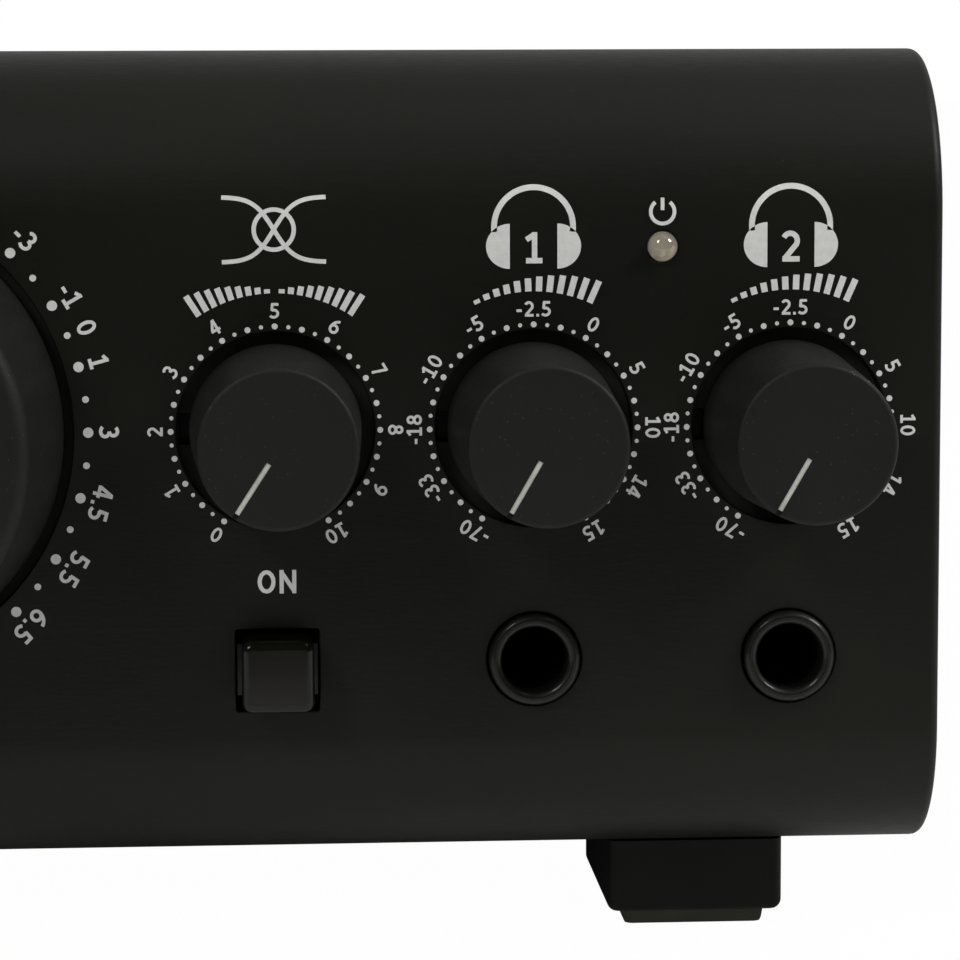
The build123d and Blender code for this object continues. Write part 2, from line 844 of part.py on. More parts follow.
def make_button_spring(name, place):
    """Return spring of square wire, from the switch's floor to the inside of the cap."""
    coil_back = switch_floor - spring_wire
    coil_length = coil_back - cap_inside - spring_wire
    with BuildPart() as spring:
        with BuildLine() as coil:
            Helix(
                coil_length / spring_turns,
                coil_length,
                spring_r,
                center=(place[0], front_y + coil_back, place[1]),
                direction=(0, -1, 0),
            )
        with BuildSketch(Plane(origin=coil.line @ 0, z_dir=coil.line % 0)):
            Rectangle(spring_wire, spring_wire)
        sweep(is_frenet=True)
    keep(spring.part, name)


for button_name, button_place in button_places.items():
    make_button(button_name, button_place)
    make_button_spring(button_name.replace("_button", "_spring"), button_place)

with BuildPart() as button_switches:
    with BuildSketch(at_depth(front_board_face)):
        with Locations(*all_buttons):
            Rectangle(switch_width, switch_width)
    extrude(amount=front_board_face - switch_face)
    with BuildSketch(at_depth(switch_floor)):
        with Locations(*all_buttons):
            Rectangle(plunger_outer + 2 * switch_clear, plunger_outer + 2 * switch_clear)
    extrude(amount=switch_floor - switch_face, mode=Mode.SUBTRACT)
keep(button_switches.part, "button_switches")

with BuildPart() as button_lamps:
    with BuildSketch(at_depth(switch_floor)):
        with Locations(*all_buttons):
            Circle(lamp_r)
    extrude(amount=switch_floor - lamp_tip)
    chamfer(button_lamps.edges().filter_by(GeomType.CIRCLE).group_by(Axis.Y)[0], lamp_bevel)
keep(button_lamps.part, "button_lamps")

# power lamp
with BuildPart() as power_led:
    with BuildSketch(turning_plane(led_place)):
        with BuildLine():
            dome = RadiusArc((0, -led_reach), (led_r, led_r - led_reach), led_r)
            Polyline(
                dome @ 1,
                (led_r, tray_back),
                (led_flange_r, tray_back),
                (led_flange_r, tray_back + led_flange_t),
                (0, tray_back + led_flange_t),
                (0, -led_reach),
            )
        make_face()
    revolve(axis=turning_axis(led_place))
    with BuildSketch(at_depth(tray_back + led_flange_t)):
        with Locations(led_place):
            with GridLocations(led_lead_pitch, 1, 2, 1):
                Rectangle(led_lead, led_lead)
    extrude(amount=-(front_board_face - tray_back - led_flange_t))
keep(power_led.part, "power_led")

# headphone sockets
jack_body_z = board_top + jack_body_h / 2           # the bodies stand on the main board
jack_body_places = [(x, jack_body_z) for x, z in jack_places]
contact_offset = jack_bore_r + contact_off_bore + contact_t / 2

jack_body_front = tray_back + jack_body_gap
with BuildPart() as phones_jacks:
    with BuildSketch(at_depth(jack_body_front)):
        with Locations(*jack_body_places):
            RectangleRounded(jack_body_w, jack_body_h, jack_corner)
    extrude(amount=-jack_body_d)
    with BuildSketch(at_depth(jack_body_front)):
        with Locations(*jack_places):
            Circle(jack_nose_r)
    extrude(amount=jack_body_front + jack_reach)
    chamfer(phones_jacks.edges().filter_by(GeomType.CIRCLE).group_by(Axis.Y)[0], jack_bevel)
    with BuildSketch(at_depth(-jack_reach)):
        with Locations(*jack_places):
            Circle(jack_bore_r)
    extrude(amount=-(jack_reach + jack_bore_end), mode=Mode.SUBTRACT)
    nose_edges = phones_jacks.edges().filter_by(GeomType.CIRCLE).group_by(Axis.Y)[0]
    chamfer(nose_edges.group_by(SortBy.RADIUS)[0], jack_bevel)
    for contact_side, contact_front in zip((-1, 1), contact_fronts):
        pocket_width = contact_offset + contact_t / 2 + contact_room
        with BuildSketch(at_depth(contact_front - contact_room)):
            with Locations(*[(x + contact_side * pocket_width / 2, z) for x, z in jack_places]):
                Rectangle(pocket_width, contact_w + 2 * contact_room)
        extrude(amount=-(contact_l + 2 * contact_room), mode=Mode.SUBTRACT)
keep(phones_jacks.part, "phones_jacks")

with BuildPart() as jack_contacts:
    for contact_side, contact_front in zip((-1, 1), contact_fronts):
        with BuildSketch(at_depth(contact_front)):
            with Locations(*[(x + contact_side * contact_offset, z) for x, z in jack_places]):
                Rectangle(contact_t, contact_w)
        extrude(amount=-contact_l)
keep(jack_contacts.part, "jack_contacts")

# boards
front_board_half = inside_half - tray_t - front_board_margin
front_board_bottom = board_top + board_gap
front_board_height = upright_top - front_board_bottom
volume_cutout_r = volume_control_r * 2 ** 0.5 + board_cut_clear

jack_cut_w = jack_body_w + 2 * board_cut_clear
jack_cut_h = jack_body_h + 2 * board_cut_clear

with BuildPart() as front_board:
    with BuildSketch(at_depth(front_board_face)):
        with Locations((0, front_board_bottom + front_board_height / 2)):
            Rectangle(2 * front_board_half, front_board_height)
        with Locations(volume_place):
            Circle(volume_cutout_r, mode=Mode.SUBTRACT)
        with Locations(*jack_body_places):
            Rectangle(jack_cut_w, jack_cut_h, mode=Mode.SUBTRACT)
    extrude(amount=-board_t)
keep(front_board.part, "front_board")

main_board_half = inside_half - tray_t - main_board_margin
main_board_place = Plane.XY.offset(board_bottom)
rear_part_length = main_board_depth - main_board_full_depth
standoff_side = main_board_half - standoff_inset
standoff_front = front_y + front_board_back + standoff_inset
standoff_middle = front_y + main_board_full_depth - standoff_inset
standoff_rear = front_y + main_board_depth - standoff_inset
standoff_places = [
    (-standoff_side, standoff_front),
    (0, standoff_front),
    (standoff_side - 2 * column_pitch, standoff_front),
    (-standoff_side, standoff_middle),
    (standoff_side, standoff_middle),
    (-standoff_side, standoff_rear),
    (main_board_narrow - standoff_inset, standoff_rear),
]

with BuildPart() as main_board:
    with BuildSketch(main_board_place):
        with Locations((0, front_y + (main_board_front + main_board_full_depth) / 2)):
            Rectangle(2 * main_board_half, main_board_full_depth - main_board_front)
        with Locations(
            (
                (main_board_narrow - main_board_half) / 2,
                front_y + main_board_full_depth + rear_part_length / 2,
            )
        ):
            Rectangle(main_board_half + main_board_narrow, rear_part_length)
        with Locations(*standoff_places):
            Circle(board_screw_r + screw_hole_clear, mode=Mode.SUBTRACT)
    extrude(amount=board_t)
keep(main_board.part, "main_board")

with BuildPart() as board_standoffs:
    with BuildSketch(Plane.XY.offset(floor_top)):
        with Locations(*standoff_places):
            RegularPolygon(standoff_r, 6)
            Circle(board_screw_r + screw_hole_clear, mode=Mode.SUBTRACT)
    extrude(amount=standoff_h)
keep(board_standoffs.part, "board_standoffs")

with BuildPart() as board_screws:
    with Locations(*[(x, y, board_top) for x, y in standoff_places]):
        Cylinder(board_screw_head_r, board_screw_head_h, align=(Align.CENTER, Align.CENTER, Align.MIN))
        Cylinder(board_screw_r, board_t + board_screw_grip, align=(Align.CENTER, Align.CENTER, Align.MAX))
keep(board_screws.part, "board_screws")

capacitor_depth = main_board_depth - capacitor_rear_room
sink_depth = main_board_depth - sink_rear_room

capacitor_places = [
    (-capacitor_left + i * capacitor_pitch, front_y + capacitor_depth - j * capacitor_pitch)
    for i in range(3)
    for j in range(2)
]

with BuildPart() as filter_capacitors:
    with BuildSketch(Plane.XY.offset(board_top)):
        with Locations(*capacitor_places):
            Circle(capacitor_r)
    extrude(amount=capacitor_h)
    chamfer(filter_capacitors.faces().group_by(Axis.Z)[-1].edges(), capacitor_edge)
keep(filter_capacitors.part, "filter_capacitors")

with BuildPart() as heat_sink:
    with BuildSketch(Plane.XY.offset(board_top)):
        with Locations((-sink_left, front_y + sink_depth)):
            Rectangle(sink_length, sink_base_t)
        fin_pitch = (sink_length - sink_fin_t) / (sink_fins - 1)
        with Locations((-sink_left, front_y + sink_depth + (sink_base_t + sink_fin_l) / 2)):
            with GridLocations(fin_pitch, 1, sink_fins, 1):
                Rectangle(sink_fin_t, sink_fin_l)
    extrude(amount=sink_height)
keep(heat_sink.part, "heat_sink")

# mains transformer
toroid_place = (toroid_x, front_y + toroid_depth)
toroid_top = floor_top + toroid_h

with BuildPart() as transformer:
    with BuildSketch(Plane.XY.offset(floor_top)):
        with Locations(toroid_place):
            Circle(toroid_r)
    extrude(amount=toroid_h)
    chamfer(transformer.edges().filter_by(GeomType.CIRCLE), toroid_edge, toroid_edge_h)
    with BuildSketch(Plane.XY.offset(floor_top)):
        with Locations(toroid_place):
            Circle(toroid_hole_r)
    extrude(amount=toroid_h, mode=Mode.SUBTRACT)
keep(transformer.part, "transformer")

with BuildPart() as transformer_plate:
    with BuildSketch(Plane.XY.offset(toroid_top)):
        with Locations(toroid_place):
            Circle(toroid_plate_r)
            Circle(stud_r + stud_clear, mode=Mode.SUBTRACT)
    extrude(amount=toroid_plate_t)
keep(transformer_plate.part, "transformer_plate")

with BuildPart() as transformer_bolt:
    with BuildSketch(Plane.XY.offset(floor_top)):
        with Locations(toroid_place):
            Circle(stud_r)
    extrude(amount=toroid_h + toroid_plate_t + stud_nut_t + stud_above)
    with BuildSketch(Plane.XY.offset(toroid_top + toroid_plate_t)):
        with Locations(toroid_place):
            RegularPolygon(stud_nut_flats / 2, 6, major_radius=False)
    extrude(amount=stud_nut_t)
keep(transformer_bolt.part, "transformer_bolt")

# round three-pole sockets
def pole_places(places):
    """Centres of the three poles of each socket."""
    spots = []
    for x, z in places:
        for angle in pin_angles:
            spot = Vector(pin_circle_r, 0).rotate(Axis.Z, angle)
            spots.append((x + spot.X, z + spot.Y))
    return spots


def make_sockets(name, places, collar_r, collar_reach, well_r, core_r, depth_of_well):
    """Flanged round sockets: plate, barrel behind the panel, raised collar and a well."""
    with BuildPart() as sockets:
        with BuildSketch(at_depth(rear_face)):
            with Locations(*places):
                RectangleRounded(socket_plate_w, socket_plate_h, socket_plate_corner)
            with Locations(*socket_screw_places(places)):
                Circle(socket_screw_r + screw_hole_clear, mode=Mode.SUBTRACT)
        extrude(amount=-socket_plate_t)
        with BuildSketch(at_depth(rear_face)):
            with Locations(*places):
                Circle(socket_body_r)
        extrude(amount=socket_body_d)
        with BuildSketch(at_depth(rear_face + socket_plate_t)):
            with Locations(*places):
                Circle(collar_r)
        extrude(amount=-collar_reach)
        with BuildSketch(at_depth(rear_face + socket_plate_t + collar_reach)):
            with Locations(*places):
                Circle(well_r)
                if core_r > 0:
                    Circle(core_r, mode=Mode.SUBTRACT)
        extrude(amount=depth_of_well, mode=Mode.SUBTRACT)
        if core_r > 0:
            with BuildSketch(at_depth(rear_face + socket_plate_t + collar_reach)):
                with Locations(*pole_places(places)):
                    Circle(female_hole_r)
            extrude(amount=depth_of_well, mode=Mode.SUBTRACT)
    keep(sockets.part, name)


make_sockets(
    "xlr_outputs",
    male_places,
    male_collar_r,
    male_collar_reach,
    male_cup_r,
    0,
    male_cup_depth,
)
make_sockets(
    "xlr_inputs",
    female_places,
    female_collar_r,
    female_collar_reach,
    female_groove_r,
    female_core_r,
    female_depth,
)

male_floor = rear_face + socket_plate_t + male_collar_reach - male_cup_depth
with BuildPart() as xlr_pins:
    with BuildSketch(at_depth(male_floor)):
        with Locations(*pole_places(male_places)):
            Circle(pin_r)
    extrude(amount=-pin_length)
    chamfer(xlr_pins.edges().filter_by(GeomType.CIRCLE).group_by(Axis.Y)[-1], pin_tip)
keep(xlr_pins.part, "xlr_pins")

connector_screw_spots = [
    Plane(origin=(x, front_y + rear_face + socket_plate_t, z), x_dir=(1, 0, 0), z_dir=(0, 1, 0)).location
    for x, z in socket_screw_places(male_places + female_places)
]
with BuildPart() as connector_screws:
    with Locations(*connector_screw_spots):
        Cylinder(
            socket_screw_head_r,
            socket_screw_head_h,
            align=(Align.CENTER, Align.CENTER, Align.MIN),
        )
        Cylinder(
            socket_screw_r,
            socket_plate_t + rear_t + socket_screw_head_h,
            align=(Align.CENTER, Align.CENTER, Align.MAX),
        )
    for turn in (0, 90):
        recess_spot = Location((0, 0, socket_screw_head_h), (0, 0, turn))
        with Locations(*[spot * recess_spot for spot in connector_screw_spots]):
            Box(
                recess_l,
                recess_w,
                recess_depth,
                align=(Align.CENTER, Align.CENTER, Align.MAX),
                mode=Mode.SUBTRACT,
            )
keep(connector_screws.part, "connector_screws")

# phono sockets
with BuildPart() as phono_cores:
    with BuildSketch(at_depth(rear_face)):
        with Locations(*phono_places):
            Circle(phono_base_r)
    extrude(amount=-phono_base_t)
    with BuildSketch(at_depth(rear_face)):
        with Locations(*phono_places):
            Circle(phono_sleeve_r - phono_sleeve_wall)
    extrude(amount=-phono_core_end)
    with BuildSketch(at_depth(rear_face)):
        with Locations(*phono_places):
            Circle(phono_neck_r)
    extrude(amount=rear_t)
    with BuildSketch(at_depth(rear_panel_in)):
        with Locations(*phono_places):
            Circle(phono_body_r)
    extrude(amount=phono_body_d)
    with BuildSketch(at_depth(rear_face + phono_core_end)):
        with Locations(*phono_places):
            Circle(phono_core_hole_r)
    extrude(amount=phono_core_end + phono_hole_end, mode=Mode.SUBTRACT)
keep(phono_cores.part, "phono_cores")

with BuildPart() as phono_sleeves:
    with BuildSketch(at_depth(rear_face + phono_base_t)):
        with Locations(*phono_places):
            Circle(phono_sleeve_r)
            Circle(phono_sleeve_r - phono_sleeve_wall, mode=Mode.SUBTRACT)
    extrude(amount=-(phono_reach - phono_base_t))
keep(phono_sleeves.part, "phono_sleeves")

# mains inlet
rocker_pivot = inlet_front - rocker_pivot_depth
rocker_place = (inlet_x, rocker_z)
rocker_pocket_r = rocker_r + rocker_side_clear
well_floor = inlet_front - well_depth
drawer_pocket_end = inlet_front - drawer_d - drawer_clear
fuse_centre_depth = inlet_front - fuse_depth


def rocker_plane(x):
    """Plane across the pivot axis: x is the depth from the pivot, y is up."""
    return Plane(origin=(x, front_y + rocker_pivot, rocker_z), x_dir=(0, 1, 0), z_dir=(1, 0, 0))


with BuildPart() as mains_inlet:
    with BuildSketch(at_depth(rear_face)):
        with Locations((inlet_x, case_mid_z)):
            RectangleRounded(inlet_plate_w, inlet_plate_h, inlet_plate_corner)
    extrude(amount=-inlet_plate_t)
    with BuildSketch(at_depth(rear_face)):
        with Locations((inlet_x, case_mid_z)):
            Rectangle(inlet_body_w, inlet_body_h)
    extrude(amount=inlet_body_d)
    with BuildSketch(at_depth(inlet_front)) as well_outline:
        with Locations((inlet_x, well_z)):
            Rectangle(well_w, well_h)
        chamfer(well_outline.vertices().group_by(Axis.Y)[-1], well_corner)
    extrude(amount=well_depth, mode=Mode.SUBTRACT)
    with BuildSketch(at_depth(inlet_front)):
        with Locations((inlet_x, drawer_z)):
            Rectangle(drawer_w + 2 * drawer_clear, drawer_h + 2 * drawer_clear)
    extrude(amount=inlet_front - drawer_pocket_end, mode=Mode.SUBTRACT)
    with BuildSketch(rocker_plane(inlet_x)):
        Circle(rocker_pocket_r)
        with Locations((rocker_pocket_r, 0)):
            Rectangle(2 * rocker_pocket_r, 2 * rocker_pocket_r)
    extrude(amount=rocker_w / 2 + rocker_side_clear, both=True, mode=Mode.SUBTRACT)
    with BuildSketch(rocker_plane(inlet_x)):
        Circle(rocker_pin_r + rocker_pin_clear)
    extrude(amount=rocker_w / 2 + rocker_pin_l + rocker_pin_end, both=True, mode=Mode.SUBTRACT)
keep(mains_inlet.part, "mains_inlet")

with BuildPart() as mains_rocker:
    with BuildSketch(rocker_plane(inlet_x)) as rocker_outline:
        Circle(rocker_r)
        crest_height = (rocker_r**2 - rocker_crest**2) ** 0.5
        with BuildLine():
            Polyline(
                (rocker_valley, 0),
                (rocker_crest, crest_height),
                (2 * rocker_r, crest_height),
                (2 * rocker_r, -crest_height),
                (rocker_crest, -crest_height),
                close=True,
            )
        make_face(mode=Mode.SUBTRACT)
    extrude(amount=rocker_w / 2, both=True)
    with BuildSketch(rocker_plane(inlet_x)):
        Circle(rocker_pin_r)
    extrude(amount=rocker_w / 2 + rocker_pin_l, both=True)
turned_rocker = mains_rocker.part.rotate(
    Axis((inlet_x, front_y + rocker_pivot, rocker_z), (1, 0, 0)),
    rocker_swing / 2,
)
keep(turned_rocker, "mains_rocker")

with BuildPart() as inlet_pins:
    with BuildSketch(at_depth(well_floor)):
        with Locations(
            (inlet_x - blade_pitch / 2, well_z - blade_rise),
            (inlet_x + blade_pitch / 2, well_z - blade_rise),
            (inlet_x, well_z + blade_rise),
        ):
            Rectangle(blade_w, blade_h)
    extrude(amount=-blade_length)
keep(inlet_pins.part, "inlet_pins")

with BuildPart() as fuse_drawer:
    with BuildSketch(at_depth(inlet_front)):
        with Locations((inlet_x, drawer_z)):
            Rectangle(drawer_w, drawer_h)
    extrude(amount=drawer_d)
    with BuildSketch(at_depth(inlet_front)):
        with Locations((inlet_x, drawer_z)):
            Rectangle(drawer_w + 2 * drawer_lip, drawer_h + 2 * drawer_lip)
    extrude(amount=-drawer_lip_t)
    fillet(fuse_drawer.faces().sort_by(Axis.Y)[-1].edges(), drawer_rim_r)
    with BuildSketch(at_depth(fuse_centre_depth + fuse_r + fuse_clear)):
        with Locations((inlet_x, drawer_z + drawer_h / 2)):
            Rectangle(fuse_l + 2 * fuse_clear, drawer_h + 2 * (fuse_r + fuse_clear))
    extrude(amount=2 * (fuse_r + fuse_clear), mode=Mode.SUBTRACT)
keep(fuse_drawer.part, "fuse_drawer")

fuse_middle = (inlet_x, front_y + fuse_centre_depth, drawer_z)
with BuildPart() as fuse:
    with BuildSketch(Plane(origin=fuse_middle, x_dir=(0, 1, 0), z_dir=(1, 0, 0))):
        Circle(fuse_r)
    extrude(amount=fuse_l / 2, both=True)
keep(fuse.part, "fuse")
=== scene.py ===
import json
import math

import bmesh
import bpy
from mathutils import Matrix, Vector


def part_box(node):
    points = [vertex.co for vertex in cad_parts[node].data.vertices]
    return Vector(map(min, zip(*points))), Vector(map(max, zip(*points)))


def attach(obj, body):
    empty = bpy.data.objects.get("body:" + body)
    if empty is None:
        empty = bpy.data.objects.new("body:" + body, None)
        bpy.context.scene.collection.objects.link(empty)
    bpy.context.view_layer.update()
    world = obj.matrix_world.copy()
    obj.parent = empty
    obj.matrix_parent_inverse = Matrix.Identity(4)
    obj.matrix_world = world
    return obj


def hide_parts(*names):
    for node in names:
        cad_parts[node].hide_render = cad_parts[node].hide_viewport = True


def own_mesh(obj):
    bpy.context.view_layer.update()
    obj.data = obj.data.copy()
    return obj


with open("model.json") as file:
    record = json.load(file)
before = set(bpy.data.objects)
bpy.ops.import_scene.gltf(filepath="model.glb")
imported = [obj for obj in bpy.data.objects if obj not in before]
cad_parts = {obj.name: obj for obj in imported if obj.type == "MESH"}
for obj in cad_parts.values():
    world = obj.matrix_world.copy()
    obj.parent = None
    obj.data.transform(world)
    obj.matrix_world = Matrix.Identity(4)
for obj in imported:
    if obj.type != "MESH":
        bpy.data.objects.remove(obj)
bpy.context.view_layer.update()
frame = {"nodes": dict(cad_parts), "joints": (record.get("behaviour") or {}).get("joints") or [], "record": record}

mm = 0.001
jointOf = {j["name"]: j for j in frame["joints"]}


# small helpers

def tone(red, green, blue):  # 0-255 display values to linear light
    shares = [v / 255 for v in (red, green, blue)]
    return tuple(((v + 0.055) / 1.055) ** 2.4 if v > 0.04045 else v / 12.92 for v in shares)


def linked(name, data):
    obj = bpy.data.objects.new(name, data)
    bpy.context.scene.collection.objects.link(obj)
    return obj


def evaluatedMesh(obj):  # what the object comes to with its modifiers; the object itself goes
    depsgraph = bpy.context.evaluated_depsgraph_get()
    mesh = bpy.data.meshes.new_from_object(obj.evaluated_get(depsgraph))
    bpy.data.objects.remove(obj)
    return mesh


def bmeshToMesh(bm, name):
    mesh = bpy.data.meshes.new(name)
    bm.to_mesh(mesh)
    bm.free()
    return mesh


def markSharp(bm, degrees):  # smooth shading with sharp edges kept
    for face in bm.faces:
        face.smooth = True
    for edge in bm.edges:
        if edge.is_manifold:
            edge.smooth = edge.calc_face_angle(0) < math.radians(degrees)


def addPiece(name, mesh, material, body, replaced=(), weighted=True):
    piece = linked(name, mesh)
    mesh.materials.clear()
    mesh.materials.append(material)
    if weighted:
        piece.modifiers.new("evenNormals", "WEIGHTED_NORMAL").keep_sharp = True
    if replaced:
        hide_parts(*replaced)
    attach(piece, body)
    return piece


def bodyOf(node):
    return next(b for b, members in frame["record"]["behaviour"]["bodies"].items() if node in members)


dressing = {
    "weld": 1e-7,
    "flatWithin": math.radians(0.3),
    "edgeSteps": 2,
    "edgeProfile": 0.6,
    "wobble": 0.25,  # a normal that leans further sideways is a real face's, such as a groove's side
}


def turnedNormals(mesh, centre):  # takes the sideways wobble out of the normals of a turned piece
    carrier = linked("carrier", mesh)
    carrier.modifiers.new("evenNormals", "WEIGHTED_NORMAL").keep_sharp = True
    even = evaluatedMesh(carrier)
    normals = []
    for corner, loop in zip(even.corner_normals, even.loops):
        normal = Vector(corner.vector)
        at = even.vertices[loop.vertex_index].co
        around = Vector((at.z - centre.z, 0, centre.x - at.x)).normalized()
        wobble = normal.dot(around)
        slight = abs(wobble) < dressing["wobble"]
        normals.append((normal - wobble * around).normalized() if slight else normal)
    even.normals_split_custom_set(normals)
    return even


def dressNode(node, material, slot, edgeRound=0.0, sharpFrom=32.0, turnedAbout=None):
    bm = bmesh.new()  # a merged copy stands in for the node
    bm.from_mesh(frame["nodes"][node].data)
    bmesh.ops.remove_doubles(bm, verts=bm.verts, dist=dressing["weld"])
    bmesh.ops.dissolve_limit(bm, angle_limit=dressing["flatWithin"], verts=bm.verts, edges=bm.edges)
    if edgeRound:
        sharp = [e for e in bm.edges if e.is_manifold and e.calc_face_angle(0) > math.radians(sharpFrom)]
        bmesh.ops.bevel(
            bm, geom=sharp, offset=edgeRound * mm, segments=dressing["edgeSteps"],
            profile=dressing["edgeProfile"], affect="EDGES",
        )
        bmesh.ops.remove_doubles(bm, verts=bm.verts, dist=dressing["weld"])
    markSharp(bm, sharpFrom)
    mesh = bmeshToMesh(bm, node + "Dressed")
    if turnedAbout:
        mesh = turnedNormals(mesh, turnedAbout)
    return addPiece(node + "Dressed", mesh, material, bodyOf(node), [node], not turnedAbout)


def lathe(name, profile, centre, steps):  # profile of (radius, y) turned about a front-to-back axis
    bm = bmesh.new()
    rings = []
    turns = [2 * math.pi * i / steps for i in range(steps)]
    for radius, y in profile:
        if radius < 1e-9:
            rings.append([bm.verts.new((centre[0], y, centre[1]))])
            continue
        rings.append([
            bm.verts.new((centre[0] + radius * math.cos(t), y, centre[1] + radius * math.sin(t)))
            for t in turns
        ])
    for low, high in zip(rings, rings[1:]):
        for i in range(steps):
            j = (i + 1) % steps
            loop = [low[i % len(low)], low[j % len(low)], high[j % len(high)], high[i % len(high)]]
            corners = list(dict.fromkeys(loop))
            if len(corners) > 2:
                bm.faces.new(corners)
    bmesh.ops.remove_doubles(bm, verts=bm.verts, dist=1e-8)
    bmesh.ops.recalc_face_normals(bm, faces=bm.faces)
    markSharp(bm, 35)
    return bmeshToMesh(bm, name)


# node helpers

def setInputs(tree, node, inputs):  # a value, a socket to link from, or a node for its first output
    for key, value in inputs.items():
        if isinstance(value, bpy.types.Node):
            value = value.outputs[0]
        if isinstance(value, bpy.types.NodeSocket):
            tree.links.new(value, node.inputs[key])
        else:
            node.inputs[key].default_value = value


def addNode(tree, kind, inputs=None, **settings):
    node = tree.nodes.new(kind)
    for key, value in settings.items():
        setattr(node, key, value)
    setInputs(tree, node, inputs or {})
    return node


def maths(tree, operation, *values):
    return addNode(tree, "ShaderNodeMath", dict(enumerate(values)), operation=operation)


def newTree(name, sockets):  # a tree with these inputs, and the identifier of each
    tree = bpy.data.node_groups.new(name, "GeometryNodeTree")
    for way in ("OUTPUT", "INPUT"):
        tree.interface.new_socket("Geometry", in_out=way, socket_type="NodeSocketGeometry")
    ids = {}
    for label, kind in sockets.items():
        socket = tree.interface.new_socket(label, in_out="INPUT", socket_type="NodeSocket" + kind)
        ids[label] = socket.identifier
    return tree, ids


def endTree(tree, geometry, material):
    real = addNode(tree, "GeometryNodeRealizeInstances", {0: geometry})
    coated = addNode(tree, "GeometryNodeSetMaterial", {"Geometry": real, "Material": material})
    addNode(tree, "NodeGroupOutput", {0: coated})


def grown(tree, ids, values):  # the plain mesh that a tree makes of these values
    carrier = linked("carrier", bpy.data.meshes.new("carrier"))
    modifier = carrier.modifiers.new("growth", "NODES")
    modifier.node_group = tree
    for label, value in values.items():
        modifier[ids[label]] = value
    return evaluatedMesh(carrier)


# finishes

def newMaterial(name):
    material = bpy.data.materials.new(name)
    material.use_nodes = True
    return material, material.node_tree


def laidOver(tree, share, under, colour):  # a plain colour over another, by share
    inputs = {0: share, 6: under, 7: (*tone(*colour), 1)}
    return addNode(tree, "ShaderNodeMix", inputs, data_type="RGBA").outputs[2]


surface = {
    "fineDetail": 3.0,
    "broadDetail": 4.0,
    "mottleBand": (0.3, 0.7),
    "speckCore": 0.5,  # share of a speck that is full dust
    "dustFacing": (-0.1, 0.6),  # dust settles on what faces up
    "dustElsewhere": 0.12,
    "smoothest": 0.02,
    "reliefDepth": 0.05 * mm,
    "coatRoughness": 0.08,
}
finishes = {}


def finish(  # mottled colour, uneven gloss, fine relief and a few dust specks
    name, colour, roughness, grain=(3500, 0.15), mottle=(60, 0.25), stretch=(1, 1, 1), specks=0.0,
    metallic=0.0, specular=0.5, coat=0.0, clear=0.0, roughSpread=0.08,
    speckTone=(120, 120, 116), speckScale=420.0,
):
    material, tree = newMaterial(name)
    place = addNode(tree, "ShaderNodeTexCoord").outputs
    mapping = addNode(tree, "ShaderNodeMapping", {"Vector": place["Object"], "Scale": stretch})
    fine = addNode(tree, "ShaderNodeTexNoise", {
        "Vector": mapping, "Scale": grain[0], "Detail": surface["fineDetail"],
    })
    broad = addNode(tree, "ShaderNodeTexNoise", {
        "Vector": place["Object"], "Scale": mottle[0], "Detail": surface["broadDetail"],
    })
    colourOut = ramp = addNode(tree, "ShaderNodeValToRGB", {"Fac": broad})
    darker, lighter = 1 - mottle[1], 1 + mottle[1]
    for stop, position, factor in zip(ramp.color_ramp.elements, surface["mottleBand"], (darker, lighter)):
        stop.position = position
        stop.color = (*[min(1.0, c * factor) for c in tone(*colour)], 1)
    if specks:
        dust = addNode(tree, "ShaderNodeTexVoronoi", {"Vector": place["Object"], "Scale": speckScale})
        near = addNode(tree, "ShaderNodeMapRange", {
            "Value": dust, "From Min": specks, "From Max": specks * surface["speckCore"],
        })
        facing = addNode(tree, "ShaderNodeSeparateXYZ", {0: place["Normal"]})
        settled = addNode(tree, "ShaderNodeMapRange", {
            "Value": facing.outputs["Z"], "From Min": surface["dustFacing"][0],
            "From Max": surface["dustFacing"][1], "To Min": surface["dustElsewhere"],
        })
        colourOut = laidOver(tree, maths(tree, "MULTIPLY", near, settled), ramp, speckTone)
    gloss = addNode(tree, "ShaderNodeMapRange", {
        "Value": fine, "To Min": max(surface["smoothest"], roughness - roughSpread),
        "To Max": min(1.0, roughness + roughSpread),
    })
    relief = addNode(tree, "ShaderNodeBump", {
        "Height": fine, "Strength": grain[1], "Distance": surface["reliefDepth"],
    })
    setInputs(tree, tree.nodes["Principled BSDF"], {
        "Base Color": colourOut, "Roughness": gloss, "Normal": relief, "Metallic": metallic,
        "Specular IOR Level": specular, "IOR": 1.5, "Transmission Weight": clear,
        "Coat Weight": coat, "Coat Roughness": surface["coatRoughness"],
    })
    finishes[name] = material
    return material


finish("casePaint", (13, 14, 6), 0.5, (2600, 0.35), (25, 0.15), (0.25, 1, 1), 0.018, specular=0.24)
finish("insidePaint", (32, 32, 27), 0.6, (3000, 0.3), (40, 0.2), specular=0.2)
finish("zincSteel", (150, 152, 150), 0.38, (1800, 0.25), (45, 0.2), metallic=1.0)
finish("blackScrew", (38, 38, 40), 0.35, (2500, 0.2), (200, 0.3), metallic=0.9)
finish("footPlastic", (10, 11, 9), 0.5, (2200, 0.3), (80, 0.2), specular=0.15)
finish("footRubber", (58, 59, 50), 0.75, (3000, 0.6), (120, 0.25), specular=0.3)
finish(
    "knobPlastic", (17, 19, 16), 0.58, (2400, 0.5), (90, 0.15), (1, 1, 1), 0.08, specular=0.26,
    speckTone=(150, 150, 146), speckScale=1500.0,
)
finish("pointerPaint", (174, 174, 168), 0.6, (2600, 0.5), (500, 0.18))
finish("printInk", (203, 203, 200), 0.6, (5200, 0.4), (1500, 0.06))
finish("turnedSteel", (165, 165, 162), 0.25, (1500, 0.2), (60, 0.12), (1, 30, 1), metallic=1.0)
finish("controlBlack", (14, 14, 14), 0.5, (2200, 0.3), (60, 0.2), specular=0.2)
